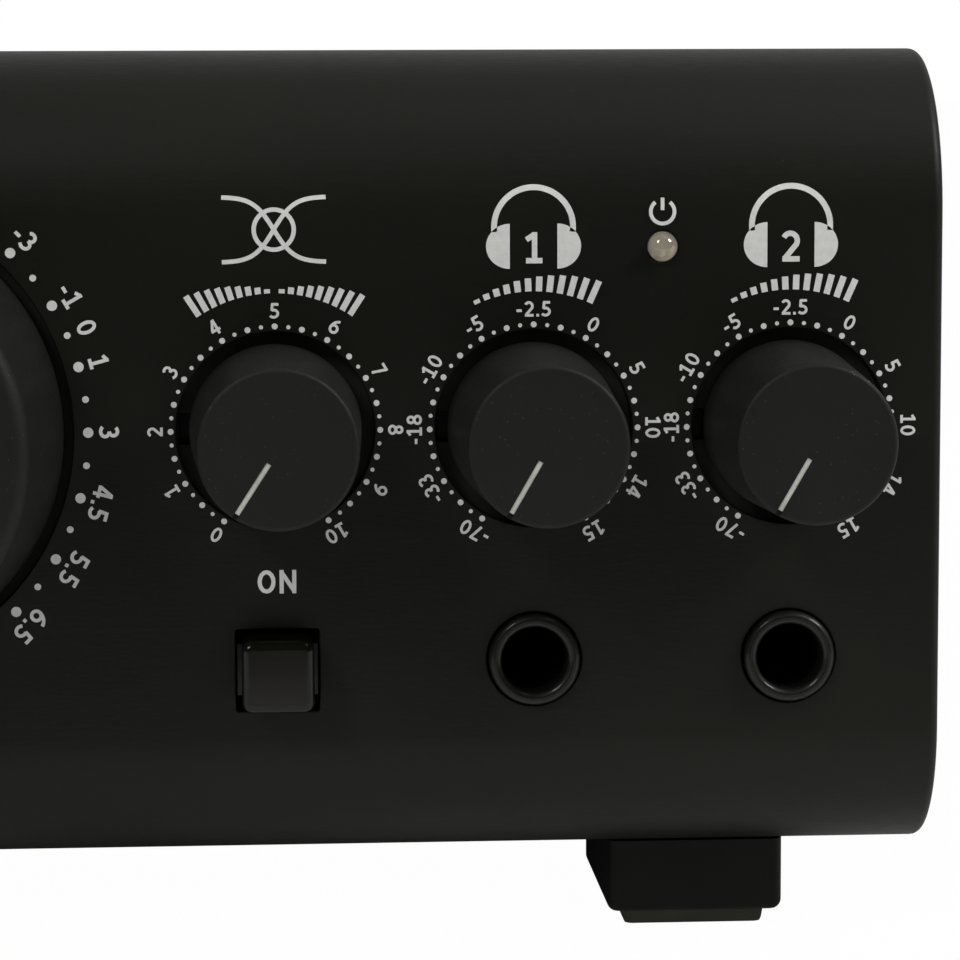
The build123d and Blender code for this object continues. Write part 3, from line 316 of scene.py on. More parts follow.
finish("boreBlack", (7, 7, 7), 0.6, (2000, 0.2), (60, 0.2), specular=0.1)
finish("springSteel", (160, 160, 160), 0.25, (3000, 0.1), (200, 0.15), metallic=1.0)
finish("switchPlastic", (26, 26, 26), 0.55, (2600, 0.3), (90, 0.2))
finish("redLamp", (150, 22, 16), 0.25, (2000, 0.05), (300, 0.2), clear=0.3)
finish("noseBlack", (17, 17, 15), 0.48, (1800, 0.12), (90, 0.2), specular=0.25, coat=0.25)
finish("contactGold", (205, 170, 95), 0.22, (2200, 0.1), (150, 0.12), metallic=1.0)
finish("boardGreen", (18, 74, 38), 0.35, (1400, 0.2), (35, 0.25), coat=0.3)
finish("capacitorSleeve", (22, 24, 40), 0.3, (1500, 0.1), (60, 0.2), coat=0.3)
finish("blackAluminium", (34, 34, 36), 0.4, (2200, 0.3), (60, 0.2), (1, 1, 0.05), metallic=0.7)
finish("windingTape", (170, 140, 52), 0.35, (900, 0.4), (40, 0.25), (1, 1, 0.2), coat=0.2)
finish("socketBlack", (24, 24, 24), 0.4, (2200, 0.4), (70, 0.2), specular=0.5)
finish("coreWhite", (196, 194, 186), 0.45, (2600, 0.2), (120, 0.08))
finish("nickel", (188, 184, 176), 0.18, (2600, 0.1), (180, 0.1), metallic=1.0)
finish("inletPlastic", (20, 20, 20), 0.42, (2400, 0.3), (80, 0.2))
finish("rockerPlastic", (16, 16, 16), 0.2, (2000, 0.08), (80, 0.2), coat=0.3)
finish("fuseGlass", (214, 218, 216), 0.06, (900, 0.04), (60, 0.05), clear=0.9, roughSpread=0.03)
finish("lampCup", (204, 196, 178), 0.35, (2500, 0.3), (700, 0.12))
finish("lampLens", (206, 204, 198), 0.06, (900, 0.02), (400, 0.03), clear=0.94, roughSpread=0.02, coat=0.8)

# smoked cap colours; the red over each cap's middle is painted see-through light of the lamp behind
smoke = {"tone": (13, 15, 8), "paintedLampRed": (18, 15, 10), "paintedRedEdge": 4.2 * mm, "paintedRedCore": 1.2 * mm}


def smokedCapFinish(name, centre):  # painted see-through light: a little redder over the lamp behind its middle, painted into the cap's colour
    material = finish(
        name, smoke["tone"], 0.22, (2200, 0.08), (180, 0.12), specular=0.22, coat=0.18, roughSpread=0.05,
    )
    tree = material.node_tree
    shader = tree.nodes["Principled BSDF"]
    place = next(n for n in tree.nodes if n.type == "TEX_COORD").outputs["Object"]
    # painted see-through light: the lamp's red is painted into the colour, strongest over the cap's middle
    away = addNode(tree, "ShaderNodeVectorMath", {0: place, 1: centre}, operation="DISTANCE")
    near = addNode(tree, "ShaderNodeMapRange", {
        "Value": away.outputs["Value"], "From Min": smoke["paintedRedEdge"], "From Max": smoke["paintedRedCore"],
    }, interpolation_type="SMOOTHSTEP")
    under = shader.inputs["Base Color"].links[0].from_socket
    setInputs(tree, shader, {"Base Color": laidOver(tree, near, under, smoke["paintedLampRed"])})
    return material


print("finishes ready")

# wrapped sheet: a flat pattern with its holes, folded over the two bends

shellLow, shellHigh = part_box("outer_shell")
sheet = {
    "thickness": 2.5 * mm,
    "topBend": 16.0 * mm,
    "bottomBend": 13.0 * mm,
    "edgeRound": 0.16 * mm,
    "endRoll": 1.0 * mm,  # the cut ends are rolled over a little at left and right
    "rollCuts": (0.0, 0.25, 0.45, 0.62, 0.76, 0.87, 0.95),
    "bendSteps": 30,
    "bigHole": (23.05 * mm, 144),  # radius and number of corners, as for the other round holes
    "smallHole": (9.55 * mm, 96),
    "buttonHole": 8.1 * mm,
    "buttonHoleCorner": 0.3 * mm,
    "socketHole": (4.62 * mm, 64),
    "lampHole": (1.55 * mm, 40),
    "ventLength": 26.0 * mm,
    "ventWidth": 3.0 * mm,
    "ventEndSteps": 10,
    "ventPitch": 7.0 * mm,
    "ventColumns": 20,
    "ventRowPitch": 34.0 * mm,
    "ventFromRear": 62.0 * mm,
    "footHole": (1.6 * mm, 16),
    "footHalfWidth": 8.9 * mm,
    "footHalfDepth": 12.5 * mm,
}
frontY = shellLow.y
flatBottom = shellLow.z + sheet["bottomBend"]  # height where the front's flat part starts
flatTop = shellHigh.z - sheet["topBend"]
flatLength = flatTop - flatBottom
topArc = sheet["topBend"] * math.pi / 2
bottomArc = sheet["bottomBend"] * math.pi / 2
topRun = shellHigh.y - frontY - sheet["topBend"]
bottomRun = shellHigh.y - frontY - sheet["bottomBend"]


def developed(z):  # height on the front to length along the folded face
    if z > flatTop:
        return flatLength + sheet["topBend"] * math.asin(min(1.0, (z - flatTop) / sheet["topBend"]))
    if z < flatBottom:
        return -sheet["bottomBend"] * math.asin(min(1.0, (flatBottom - z) / sheet["bottomBend"]))
    return z - flatBottom


def fold(x, s, depth):  # depth is below the outer face
    if s > flatLength:
        radius, angle = sheet["topBend"], (s - flatLength) / sheet["topBend"]
        if angle > math.pi / 2:
            return Vector((x, frontY + radius + s - flatLength - topArc, shellHigh.z - depth))
        out = radius - depth
        return Vector((x, frontY + radius - out * math.cos(angle), flatTop + out * math.sin(angle)))
    if s < 0:
        radius, angle = sheet["bottomBend"], -s / sheet["bottomBend"]
        if angle > math.pi / 2:
            return Vector((x, frontY + radius - s - bottomArc, shellLow.z + depth))
        out = radius - depth
        return Vector((x, frontY + radius - out * math.cos(angle), flatBottom - out * math.sin(angle)))
    return Vector((x, frontY + depth, flatBottom + s))


def circlePoints(x, z, radius, steps):
    turns = [2 * math.pi * i / steps for i in range(steps)]
    return [(x + radius * math.cos(t), z + radius * math.sin(t)) for t in turns]


def slotPoints(x, y, width, length, steps):  # a slot along the second coordinate
    half = (length - width) / 2
    turns = [math.pi * i / steps for i in range(steps + 1)]
    upper = [(x + width / 2 * math.cos(t), y + half + width / 2 * math.sin(t)) for t in turns]
    lower = [(x - width / 2 * math.cos(t), y - half - width / 2 * math.sin(t)) for t in turns]
    return upper + lower


def roundedSquare(x, z, width, corner, steps=4):
    points, half = [], width / 2 - corner
    for sideX, sideZ, start in ((1, 1, 0), (-1, 1, 90), (-1, -1, 180), (1, -1, 270)):
        for i in range(steps + 1):
            t = math.radians(start + 90 * i / steps)
            out, up = corner * math.cos(t), corner * math.sin(t)
            points.append((x + sideX * half + out, z + sideZ * half + up))
    return points


def middle(node):
    low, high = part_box(node)
    return (low + high) / 2


buttonNames = [n for n in frame["nodes"] if n.endswith("_button")]
knobNames = ["volume_knob", "crossfeed_knob", "phones_1_knob", "phones_2_knob"]
knobAt = {n: Vector(jointOf[n.replace("_knob", "_turn")]["pos_m"]) for n in knobNames}
knobRow = knobAt["volume_knob"].z
lampAt = middle("power_led")
socketColumns = [knobAt["phones_1_knob"].x, knobAt["phones_2_knob"].x]
socketRow = middle("jack_contacts").z
footLow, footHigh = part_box("feet")
footColumn = middle("feet").x + footHigh.x - sheet["footHalfWidth"]
footRows = (footLow.y + sheet["footHalfDepth"], footHigh.y - sheet["footHalfDepth"])
footSpots = [(side * abs(footColumn), y) for side in (-1, 1) for y in footRows]


def frontHole(points):  # outline on the front to the flat pattern
    return [(x, developed(z)) for x, z in points]


def flatPattern():
    outlines = []
    low, high = -bottomArc - bottomRun, flatLength + topArc + topRun
    outlines.append([(shellLow.x, low), (shellHigh.x, low), (shellHigh.x, high), (shellLow.x, high)])
    big = knobAt["volume_knob"]
    outlines.append(frontHole(circlePoints(big.x, big.z, *sheet["bigHole"])))
    for name in knobNames[1:]:
        at = knobAt[name]
        outlines.append(frontHole(circlePoints(at.x, at.z, *sheet["smallHole"])))
    for name in buttonNames:
        at = middle(name)
        hole = roundedSquare(at.x, at.z, sheet["buttonHole"], sheet["buttonHoleCorner"])
        outlines.append(frontHole(hole))
    for x in socketColumns:
        outlines.append(frontHole(circlePoints(x, socketRow, *sheet["socketHole"])))
    outlines.append(frontHole(circlePoints(lampAt.x, lampAt.z, *sheet["lampHole"])))
    for row in (-0.5, 0.5):
        s = high - sheet["ventFromRear"] + row * sheet["ventRowPitch"]
        for column in range(sheet["ventColumns"]):
            x = (column - (sheet["ventColumns"] - 1) / 2) * sheet["ventPitch"]
            outlines.append(slotPoints(x, s, sheet["ventWidth"], sheet["ventLength"], sheet["ventEndSteps"]))
    for x, y in footSpots:
        s = -bottomArc - (y - frontY - sheet["bottomBend"])
        outlines.append(circlePoints(x, s, *sheet["footHole"]))
    return outlines


def curveMesh(name, outlines, thickness, edgeRound):  # a filled plate with rounded edges
    curve = bpy.data.curves.new(name, "CURVE")
    curve.dimensions = "2D"
    curve.fill_mode = "BOTH"
    for outline in outlines:
        spline = curve.splines.new("POLY")
        spline.points.add(len(outline) - 1)
        for point, (x, s) in zip(spline.points, outline):
            point.co = (x, s, 0, 1)
        spline.use_cyclic_u = True
    curve.extrude = thickness / 2 - edgeRound
    curve.bevel_depth = edgeRound
    curve.bevel_resolution = 1
    curve.offset = -edgeRound
    mesh = evaluatedMesh(linked(name, curve))
    bpy.data.curves.remove(curve)
    return mesh


def makeShell():
    bm = bmesh.new()
    bm.from_mesh(curveMesh("flatPattern", flatPattern(), sheet["thickness"], sheet["edgeRound"]))
    bmesh.ops.remove_doubles(bm, verts=bm.verts, dist=1e-6)
    roll, steps = sheet["endRoll"], sheet["bendSteps"]
    cuts = [(0, flatLength + topArc * i / steps) for i in range(steps + 1)]
    cuts += [(0, -bottomArc * i / steps) for i in range(steps + 1)]
    rolled = [shellHigh.x - roll * (1 - share) for share in sheet["rollCuts"]]
    cuts += [(side * x, 0) for side in (-1, 1) for x in rolled]
    for x, s in cuts:  # each cut runs across one of the two directions
        everything = bm.verts[:] + bm.edges[:] + bm.faces[:]
        across = (1, 0, 0) if x else (0, 1, 0)
        bmesh.ops.bisect_plane(bm, geom=everything, dist=1e-7, plane_co=(x, s, 0), plane_no=across)
    for vert in bm.verts:
        depth = sheet["thickness"] / 2 - vert.co.z
        out = min(roll, max(0.0, abs(vert.co.x) - shellHigh.x + roll))
        if depth < sheet["thickness"] / 2:
            depth += roll - math.sqrt(roll * roll - out * out)
        vert.co = fold(vert.co.x, vert.co.y, depth)
    markSharp(bm, 50)
    mesh = bmeshToMesh(bm, "wrappedSheet")
    addPiece("wrappedSheet", mesh, finishes["casePaint"], "case", ["outer_shell"])


makeShell()
print("wrapped sheet folded")

# printing on the front: Geometry Nodes for what repeats, then laid on the folded face

ink = {"thickness": 0.012 * mm, "layer": 0.0015 * mm, "discSides": 20}


def ringTree():  # discs round a dial, or bars that stand outward and grow from the first to the last
    lengths = ("Ring radius", "First angle", "Step angle", "Mark width", "First height", "Last height", "Ink")
    sockets = {"Count": "Int", **dict.fromkeys(lengths, "Float"), "Finish": "Material"}
    tree, ids = newTree("dialMarks", sockets)
    source = addNode(tree, "NodeGroupInput").outputs
    index = addNode(tree, "GeometryNodeInputIndex")
    angle = maths(tree, "ADD", source["First angle"], maths(tree, "MULTIPLY", index, source["Step angle"]))
    last = maths(tree, "MAXIMUM", maths(tree, "SUBTRACT", source["Count"], 1), 1)
    span = maths(tree, "SUBTRACT", source["Last height"], source["First height"])
    growth = maths(tree, "MULTIPLY", maths(tree, "DIVIDE", index, last), span)
    height = maths(tree, "ADD", source["First height"], growth)
    reach = maths(tree, "ADD", source["Ring radius"], maths(tree, "MULTIPLY", height, 0.5))
    place = addNode(tree, "ShaderNodeCombineXYZ", {
        0: maths(tree, "MULTIPLY", reach, maths(tree, "SINE", angle)),
        1: maths(tree, "MULTIPLY", reach, maths(tree, "COSINE", angle)),
    })
    points = addNode(tree, "GeometryNodePoints", {"Count": source["Count"], "Position": place})
    discRadius = maths(tree, "MULTIPLY", source["Mark width"], 0.5)
    disc = addNode(tree, "GeometryNodeMeshCylinder", {
        "Vertices": ink["discSides"], "Radius": discRadius, "Depth": source["Ink"],
    })
    barSize = addNode(tree, "ShaderNodeCombineXYZ", {0: source["Mark width"], 1: 1.0, 2: source["Ink"]})
    bar = addNode(tree, "GeometryNodeMeshCube", {"Size": barSize})
    isBar = addNode(
        tree, "FunctionNodeCompare", {0: source["Last height"]}, data_type="FLOAT", operation="GREATER_THAN",
    )
    choice = addNode(
        tree, "GeometryNodeSwitch", {"Switch": isBar, "False": disc, "True": bar}, input_type="GEOMETRY",
    )
    turn = addNode(tree, "ShaderNodeCombineXYZ", {2: maths(tree, "MULTIPLY", angle, -1.0)})
    outward = addNode(
        tree, "GeometryNodeSwitch", {"Switch": isBar, "False": 1.0, "True": height}, input_type="FLOAT",
    )
    size = addNode(tree, "ShaderNodeCombineXYZ", {0: 1.0, 1: outward, 2: 1.0})
    marks = addNode(tree, "GeometryNodeInstanceOnPoints", {
        "Points": points, "Instance": choice, "Rotation": turn, "Scale": size,
    })
    endTree(tree, marks, source["Finish"])
    return tree, ids


marksTree = ringTree()


def dialMarks(count, radius, firstDegrees, stepDegrees, width, heights=(0.0, 0.0)):  # in the print's plane
    return grown(*marksTree, {
        "Count": count,
        "Ring radius": radius,
        "First angle": math.radians(firstDegrees),
        "Step angle": math.radians(stepDegrees),
        "Mark width": width,
        "First height": heights[0],
        "Last height": heights[1],
        "Ink": ink["thickness"],
        "Finish": finishes["printInk"],
    })


class Print:  # collects flat marks (x, z, height) and lays them on the folded front
    def __init__(self):
        self.bm = bmesh.new()

    def addMesh(self, mesh, centre, turnDegrees=0.0):
        before = len(self.bm.verts)
        self.bm.from_mesh(mesh)
        self.bm.verts.ensure_lookup_table()
        spin = Matrix.Rotation(math.radians(-turnDegrees), 4, "Z")
        for vert in self.bm.verts[before:]:
            flat = spin @ vert.co
            vert.co = Vector((flat.x + centre[0], flat.y + centre[1], flat.z))

    def laidOnFront(self):
        for vert in self.bm.verts:
            x, z, height = vert.co
            vert.co = fold(x, developed(z), -(height + ink["thickness"] / 2))
        markSharp(self.bm, 40)
        return self.bm


def addStroke(bm, points, width, closed=False, layer=0):  # strokes that cross lie on layers of their own
    half, count = width / 2, len(points)
    lift = layer * ink["layer"]
    rails = []
    for i, (x, z) in enumerate(points):
        before = points[i - 1] if i or closed else points[i]
        after = points[(i + 1) % count] if i < count - 1 or closed else points[i]
        along = Vector((after[0] - before[0], after[1] - before[1])).normalized()
        side = Vector((-along.y, along.x)) * half
        rails.append([
            bm.verts.new((x + sign * side.x, z + sign * side.y, level * ink["thickness"] / 2 + lift))
            for sign, level in ((-1, -1), (1, -1), (1, 1), (-1, 1))
        ])
    for low, high in zip(rails, rails[1:] + rails[:1] if closed else rails[1:]):
        for i in range(4):
            j = (i + 1) % 4
            bm.faces.new((low[i], low[j], high[j], high[i]))
    if not closed:
        bm.faces.new(rails[0])
        bm.faces.new(rails[-1][::-1])
    bmesh.ops.recalc_face_normals(bm, faces=bm.faces)


def strokeMesh(points, width, closed=False, layer=0):
    bm = bmesh.new()
    addStroke(bm, points, width, closed, layer)
    return bmeshToMesh(bm, "stroke")


def plateMesh(points):  # a flat patch of ink with the outline of these points
    bm = bmesh.new()
    low = [bm.verts.new((x, z, -ink["thickness"] / 2)) for x, z in points]
    high = [bm.verts.new((x, z, ink["thickness"] / 2)) for x, z in points]
    bm.faces.new(low[::-1])
    bm.faces.new(high)
    for i in range(len(points)):
        j = (i + 1) % len(points)
        bm.faces.new((low[i], low[j], high[j], high[i]))
    bmesh.ops.recalc_face_normals(bm, faces=bm.faces)
    return bmeshToMesh(bm, "patch")


def arcPoints(radius, fromDegrees, toDegrees, steps, centre=(0, 0)):  # clockwise from the top
    turns = [math.radians(fromDegrees + (toDegrees - fromDegrees) * i / steps) for i in range(steps + 1)]
    return [(centre[0] + radius * math.sin(t), centre[1] + radius * math.cos(t)) for t in turns]


lettering = {"weight": 0.175, "gap": 0.13, "wide": 1.06, "hoopSteps": 16}  # shares of the height


def ringPoints(radius, steps, centre=(0, 0)):
    return arcPoints(radius, 0, 360 - 360 / steps, steps - 1, centre)


def bow(x, z, halfWidth, halfHeight, fromDegrees, toDegrees, steps=12):  # counterclockwise from the right
    turns = [math.radians(fromDegrees + (toDegrees - fromDegrees) * i / steps) for i in range(steps + 1)]
    return [(x + halfWidth * math.cos(t), z + halfHeight * math.sin(t)) for t in turns]


def hoop(x, z, halfWidth, halfHeight):
    steps = lettering["hoopSteps"]
    return bow(x, z, halfWidth, halfHeight, 0, 360 - 360 / steps, steps - 1)


def upsideDown(strokes, width):
    return [[(width - x, 1 - z) for x, z in stroke] for stroke in strokes]


sixStrokes = [hoop(0.32, 0.325, 0.225, 0.24), bow(0.59, 0.325, 0.495, 0.585, 180, 102)]
characters = {  # width and strokes of each, in shares of its height
    "0": (0.64, [hoop(0.32, 0.5, 0.225, 0.412)]),
    "1": (0.56, [[(0.06, 0.76), (0.31, 0.93)], [(0.31, 0), (0.31, 1)], [(0.05, 0.085), (0.55, 0.085)]]),
    "2": (0.6, [bow(0.28, 0.675, 0.215, 0.24, 155, -28) + [(0.1, 0.09)], [(0.04, 0.086), (0.57, 0.086)]]),
    "3": (0.6, [bow(0.25, 0.71, 0.205, 0.203, 145, -88), bow(0.25, 0.3, 0.245, 0.215, 88, -148)]),
    "4": (0.64, [[(0.44, 0), (0.44, 1)], [(0.41, 0.96), (0.08, 0.28)], [(0.03, 0.29), (0.62, 0.29)]]),
    "5": (0.6, [
        [(0.54, 0.914), (0.1, 0.914)], [(0.17, 0.93), (0.14, 0.5)], bow(0.25, 0.32, 0.25, 0.235, 118, -146),
    ]),
    "6": (0.64, sixStrokes),
    "7": (0.6, [[(0.03, 0.914), (0.57, 0.914)], [(0.5, 0.93), (0.2, 0)]]),
    "8": (0.64, [hoop(0.32, 0.715, 0.185, 0.2), hoop(0.32, 0.29, 0.232, 0.205)]),
    "9": (0.64, upsideDown(sixStrokes, 0.64)),
    "-": (0.36, [[(0.02, 0.39), (0.34, 0.39)]]),
    ".": (0.18, [[(0.09, 0), (0.09, 0.18)]]),
    "O": (0.74, [hoop(0.37, 0.5, 0.275, 0.412)]),
    "N": (0.7, [[(0.1, 0), (0.1, 1)], [(0.6, 0), (0.6, 1)], [(0.1, 0.9), (0.6, 0.1)]]),
    "A": (0.7, [[(0.07, 0), (0.35, 0.97)], [(0.63, 0), (0.35, 0.97)], [(0.18, 0.26), (0.52, 0.26)]]),
    "B": (0.66, [
        [(0.1, 0), (0.1, 1)],
        [(0.1, 0.914)] + bow(0.33, 0.715, 0.185, 0.2, 90, -90) + [(0.1, 0.515)],
        [(0.1, 0.515)] + bow(0.34, 0.3, 0.215, 0.215, 90, -90) + [(0.1, 0.086)],
    ]),
}


def textMesh(words, height):  # centred characters, each drawn with ribbons of ink
    bm = bmesh.new()
    total = sum(characters[c][0] for c in words) + lettering["gap"] * (len(words) - 1)
    start = -total / 2
    for character in words:
        width, strokes = characters[character]
        for layer, stroke in enumerate(strokes):
            closed = stroke[0] != stroke[-1] and len(stroke) == lettering["hoopSteps"]
            points = [((start + x) * height * lettering["wide"], (z - 0.5) * height) for x, z in stroke]
            addStroke(bm, points, lettering["weight"] * height, closed, layer)
        start += width + lettering["gap"]
    return bmeshToMesh(bm, "characters")


dialSweep, dialStep = 150, 15  # degrees either way from the top, and between the larger dots
smallDial = {
    "ring": 10.1 * mm,
    "dot": 0.58 * mm,
    "smallDot": 0.4 * mm,
    "labelRing": 11.6 * mm,
    "labelHeight": 1.5 * mm,
}
bigDial = {
    "ring": 24.5 * mm,
    "dot": 1.0 * mm,
    "smallDot": 0.66 * mm,
    "labelRing": 26.5 * mm,
    "labelHeight": 1.95 * mm,
}
title = {  # bars over the small dials
    "ring": 13.3 * mm,
    "low": 0.4 * mm,
    "high": 2.3 * mm,
    "levelBars": (12, -24, 48 / 11, 0.62 * mm),  # how many, first angle, step, width
    "blendBars": (9, 30 / 8, 0.58 * mm),
    "blendStarts": (-33, 3),
}
crossfeedLabels = [str(i) for i in range(11)]
phonesLabels = ["-70", "-33", "-18", "-10", "-5", "-2.5", "0", "5", "10", "14", "15"]
volumeLabels = {
    -150: "-70", -135: "-60", -120: "-50", -105: "-42", -90: "-36", -75: "-30", -60: "-26",
    -45: "-22", -30: "-18", -15: "-15", 0: "-12", 15: "-9", 30: "-6", 45: "-3", 60: "-1",
    67.5: "0", 75: "1", 90: "3", 105: "4.5", 120: "5.5", 135: "6.5", 150: "7",
}


def everyThirty(labels):
    return {2 * dialStep * i - dialSweep: label for i, label in enumerate(labels)}


def printDial(prints, centre, dial, labels):  # labels by their angle, clockwise from the top
    larger = 2 * dialSweep // dialStep + 1
    prints.addMesh(dialMarks(larger, dial["ring"], -dialSweep, dialStep, dial["dot"]), centre)
    between = dialStep / 2 - dialSweep
    prints.addMesh(dialMarks(larger - 1, dial["ring"], between, dialStep, dial["smallDot"]), centre)
    for angle, label in labels.items():
        x, z = arcPoints(dial["labelRing"], angle, angle, 1)[0]
        prints.addMesh(textMesh(label, dial["labelHeight"]), (centre[0] + x, centre[1] + z), angle)


glyphs = {
    "line": 0.42 * mm,
    "bandRadius": 3.82 * mm,
    "bandWidth": 0.56 * mm,
    "bandHalf": 97,  # degrees from the top of the band to either end
    "bandSteps": 48,
    "bandRise": 19.5 * mm,
    "cupRise": 17.65 * mm,
    "cupHeight": 4.35 * mm,
    "cupDepth": 2.3 * mm,
    "cupFlat": 2.3 * mm,
    "cupSteps": 24,
    "numeralHeight": 3.0 * mm,
    "numeralRise": 17.5 * mm,
    "crossRise": 19.4 * mm,
    "crossHalfWidth": 5.0 * mm,
    "crossHalfHeight": 3.1 * mm,
    "crossSwing": 2.6,  # how sharply the two lines change sides
    "crossSteps": 40,
    "crossRing": 0.62,  # the ring's radius as a share of the half height
    "crossRingSteps": 48,
    "powerRise": 3.35 * mm,
    "powerRadius": 1.15 * mm,
    "powerLine": 0.36 * mm,
    "powerGap": 38,  # degrees from the top to either end of the open ring
    "powerSteps": 40,
    "powerStem": (0.15 * mm, 1.35 * mm),
    "monoRadius": 1.05 * mm,
    "monoApart": 0.62 * mm,
    "monoLine": 0.32 * mm,
    "monoSteps": 40,
    "onRise": 8.7 * mm,
    "onHeight": 2.3 * mm,
}


def printHeadphones(prints, centre, numeral):
    x, z = centre
    band = arcPoints(glyphs["bandRadius"], -glyphs["bandHalf"], glyphs["bandHalf"], glyphs["bandSteps"])
    prints.addMesh(strokeMesh(band, glyphs["bandWidth"]), (x, z + glyphs["bandRise"]))
    for side in (-1, 1):
        cup = [(side * glyphs["cupFlat"], glyphs["cupHeight"] / 2 * sign) for sign in (-1, 1)]
        for i in range(1, glyphs["cupSteps"]):
            t = math.pi * i / glyphs["cupSteps"]
            cup.append((
                side * (glyphs["cupFlat"] + glyphs["cupDepth"] * math.sin(t)),
                glyphs["cupHeight"] / 2 * math.cos(t),
            ))
        prints.addMesh(plateMesh(cup if side > 0 else cup[::-1]), (x, z + glyphs["cupRise"]))
    prints.addMesh(textMesh(numeral, glyphs["numeralHeight"]), (x, z + glyphs["numeralRise"]))


def printCrossing(prints, centre):  # two signal lines that change sides, with a ring where they meet
    x, z = centre[0], centre[1] + glyphs["crossRise"]
    steps, swing = glyphs["crossSteps"], glyphs["crossSwing"]
    for side in (-1, 1):
        line = []
        for i in range(steps + 1):
            along = -1 + 2 * i / steps
            rise = side * glyphs["crossHalfHeight"] * math.tanh(swing * along) / math.tanh(swing)
            line.append((along * glyphs["crossHalfWidth"], rise))
        prints.addMesh(strokeMesh(line, glyphs["line"], layer=side + 1), (x, z))
    ring = ringPoints(glyphs["crossHalfHeight"] * glyphs["crossRing"], glyphs["crossRingSteps"])
    prints.addMesh(strokeMesh(ring, glyphs["line"], closed=True, layer=1), (x, z))


def printFrontMarks():
    prints = Print()
    volume, crossfeed, phones1, phones2 = ((knobAt[n].x, knobAt[n].z) for n in knobNames)
    printDial(prints, crossfeed, smallDial, everyThirty(crossfeedLabels))
    printDial(prints, phones1, smallDial, everyThirty(phonesLabels))
    printDial(prints, phones2, smallDial, everyThirty(phonesLabels))
    printDial(prints, volume, bigDial, volumeLabels)
    printHeadphones(prints, phones1, "1")
    printHeadphones(prints, phones2, "2")
    printCrossing(prints, crossfeed)
    low, high = title["low"], title["high"]
    count, start, step, width = title["levelBars"]
    for centre in (phones1, phones2):  # rising bars for level
        prints.addMesh(dialMarks(count, title["ring"], start, step, width, (low, high)), centre)
    count, step, width = title["blendBars"]
    for start, heights in zip(title["blendStarts"], ((high, low), (low, high))):  # falling and rising
        prints.addMesh(dialMarks(count, title["ring"], start, step, width, heights), crossfeed)
    power = (lampAt.x, lampAt.z + glyphs["powerRise"])
    gap = glyphs["powerGap"]
    openRing = arcPoints(glyphs["powerRadius"], gap, 360 - gap, glyphs["powerSteps"])
    prints.addMesh(strokeMesh(openRing, glyphs["powerLine"]), power)
    prints.addMesh(strokeMesh([(0, z) for z in glyphs["powerStem"]], glyphs["powerLine"]), power)
    labels = {
        "power_button": "ON", "source_1_button": "1", "source_2_button": "2", "source_3_button": "3",
        "speaker_a_button": "A", "speaker_b_button": "B",
    }
    for name, label in labels.items():
        at = middle(name)
        prints.addMesh(textMesh(label, glyphs["onHeight"]), (at.x, at.z + glyphs["onRise"]))
    at = middle("mono_button")
    for side in (-1, 1):  # two rings that overlap, for both channels summed
        ring = ringPoints(glyphs["monoRadius"], glyphs["monoSteps"], (side * glyphs["monoApart"], 0))
        stroke = strokeMesh(ring, glyphs["monoLine"], closed=True, layer=side + 1)
        prints.addMesh(stroke, (at.x, at.z + glyphs["onRise"]))
    mesh = bmeshToMesh(prints.laidOnFront(), "frontPrint")
    addPiece("frontPrint", mesh, finishes["printInk"], "case", weighted=False)


printFrontMarks()
print("front printed")

# knobs with paint in their pointer grooves

pointer = {
    "width": 0.5 * mm,
    "below": 0.08 * mm,
    "thick": 0.16 * mm,
    "edge": 0.03 * mm,
    "ends": (0.2, 0.935),  # shares of the face's radius
    "smallFace": 0.9,  # the face's radius as a share of the knob's
    "volumeFace": 0.896,
    "stop": -150,
}
boxFaces = ((0, 1, 3, 2), (4, 5, 7, 6), (0, 1, 5, 4), (2, 3, 7, 6), (0, 2, 6, 4), (1, 3, 7, 5))


def makeKnobs():
    for name in knobNames:
        at = knobAt[name]
        dressNode(name, finishes["knobPlastic"], "knob_plastic", turnedAbout=at)
        low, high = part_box(name)
        face = (high.x - low.x) / 2 * pointer["volumeFace" if name == "volume_knob" else "smallFace"]
        turnRange = jointOf[name.replace("_knob", "_turn")].get("range_deg") or (0, 0)
        clock = math.radians(pointer["stop"] - turnRange[0])  # at rest a knob may stand off its stop
        across = Vector((math.sin(clock), 0, math.cos(clock)))
        side = Vector((across.z, 0, -across.x)) * pointer["width"] / 2
        bm = bmesh.new()
        verts = []
        for depth in (0, pointer["thick"]):
            for share in pointer["ends"]:
                for sign in (-1, 1):
                    spot = across * face * share + side * sign
                    y = low.y + pointer["below"] + depth
                    verts.append(bm.verts.new(Vector((at.x, y, at.z)) + spot))
        for corners in boxFaces:
            bm.faces.new([verts[i] for i in corners])
        bmesh.ops.recalc_face_normals(bm, faces=bm.faces)
        bmesh.ops.bevel(bm, geom=bm.edges[:], offset=pointer["edge"], segments=1, affect="EDGES")
        markSharp(bm, 60)
        paint = bmeshToMesh(bm, name + "Pointer")
        addPiece(name + "Pointer", paint, finishes["pointerPaint"], bodyOf(name))


makeKnobs()
print("knobs made")

# push buttons

for name in buttonNames:
    low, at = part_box(name)[0], middle(name)
    cap = smokedCapFinish(name + "Smoke", (at.x, low.y, at.z))
    dressNode(name, cap, "smoked_cap", sharpFrom=50)
print("buttons made")

# return springs of the buttons

spring = {"wire": 0.3 * mm, "turns": 4.5, "stepsPerTurn": 20, "sides": 8}


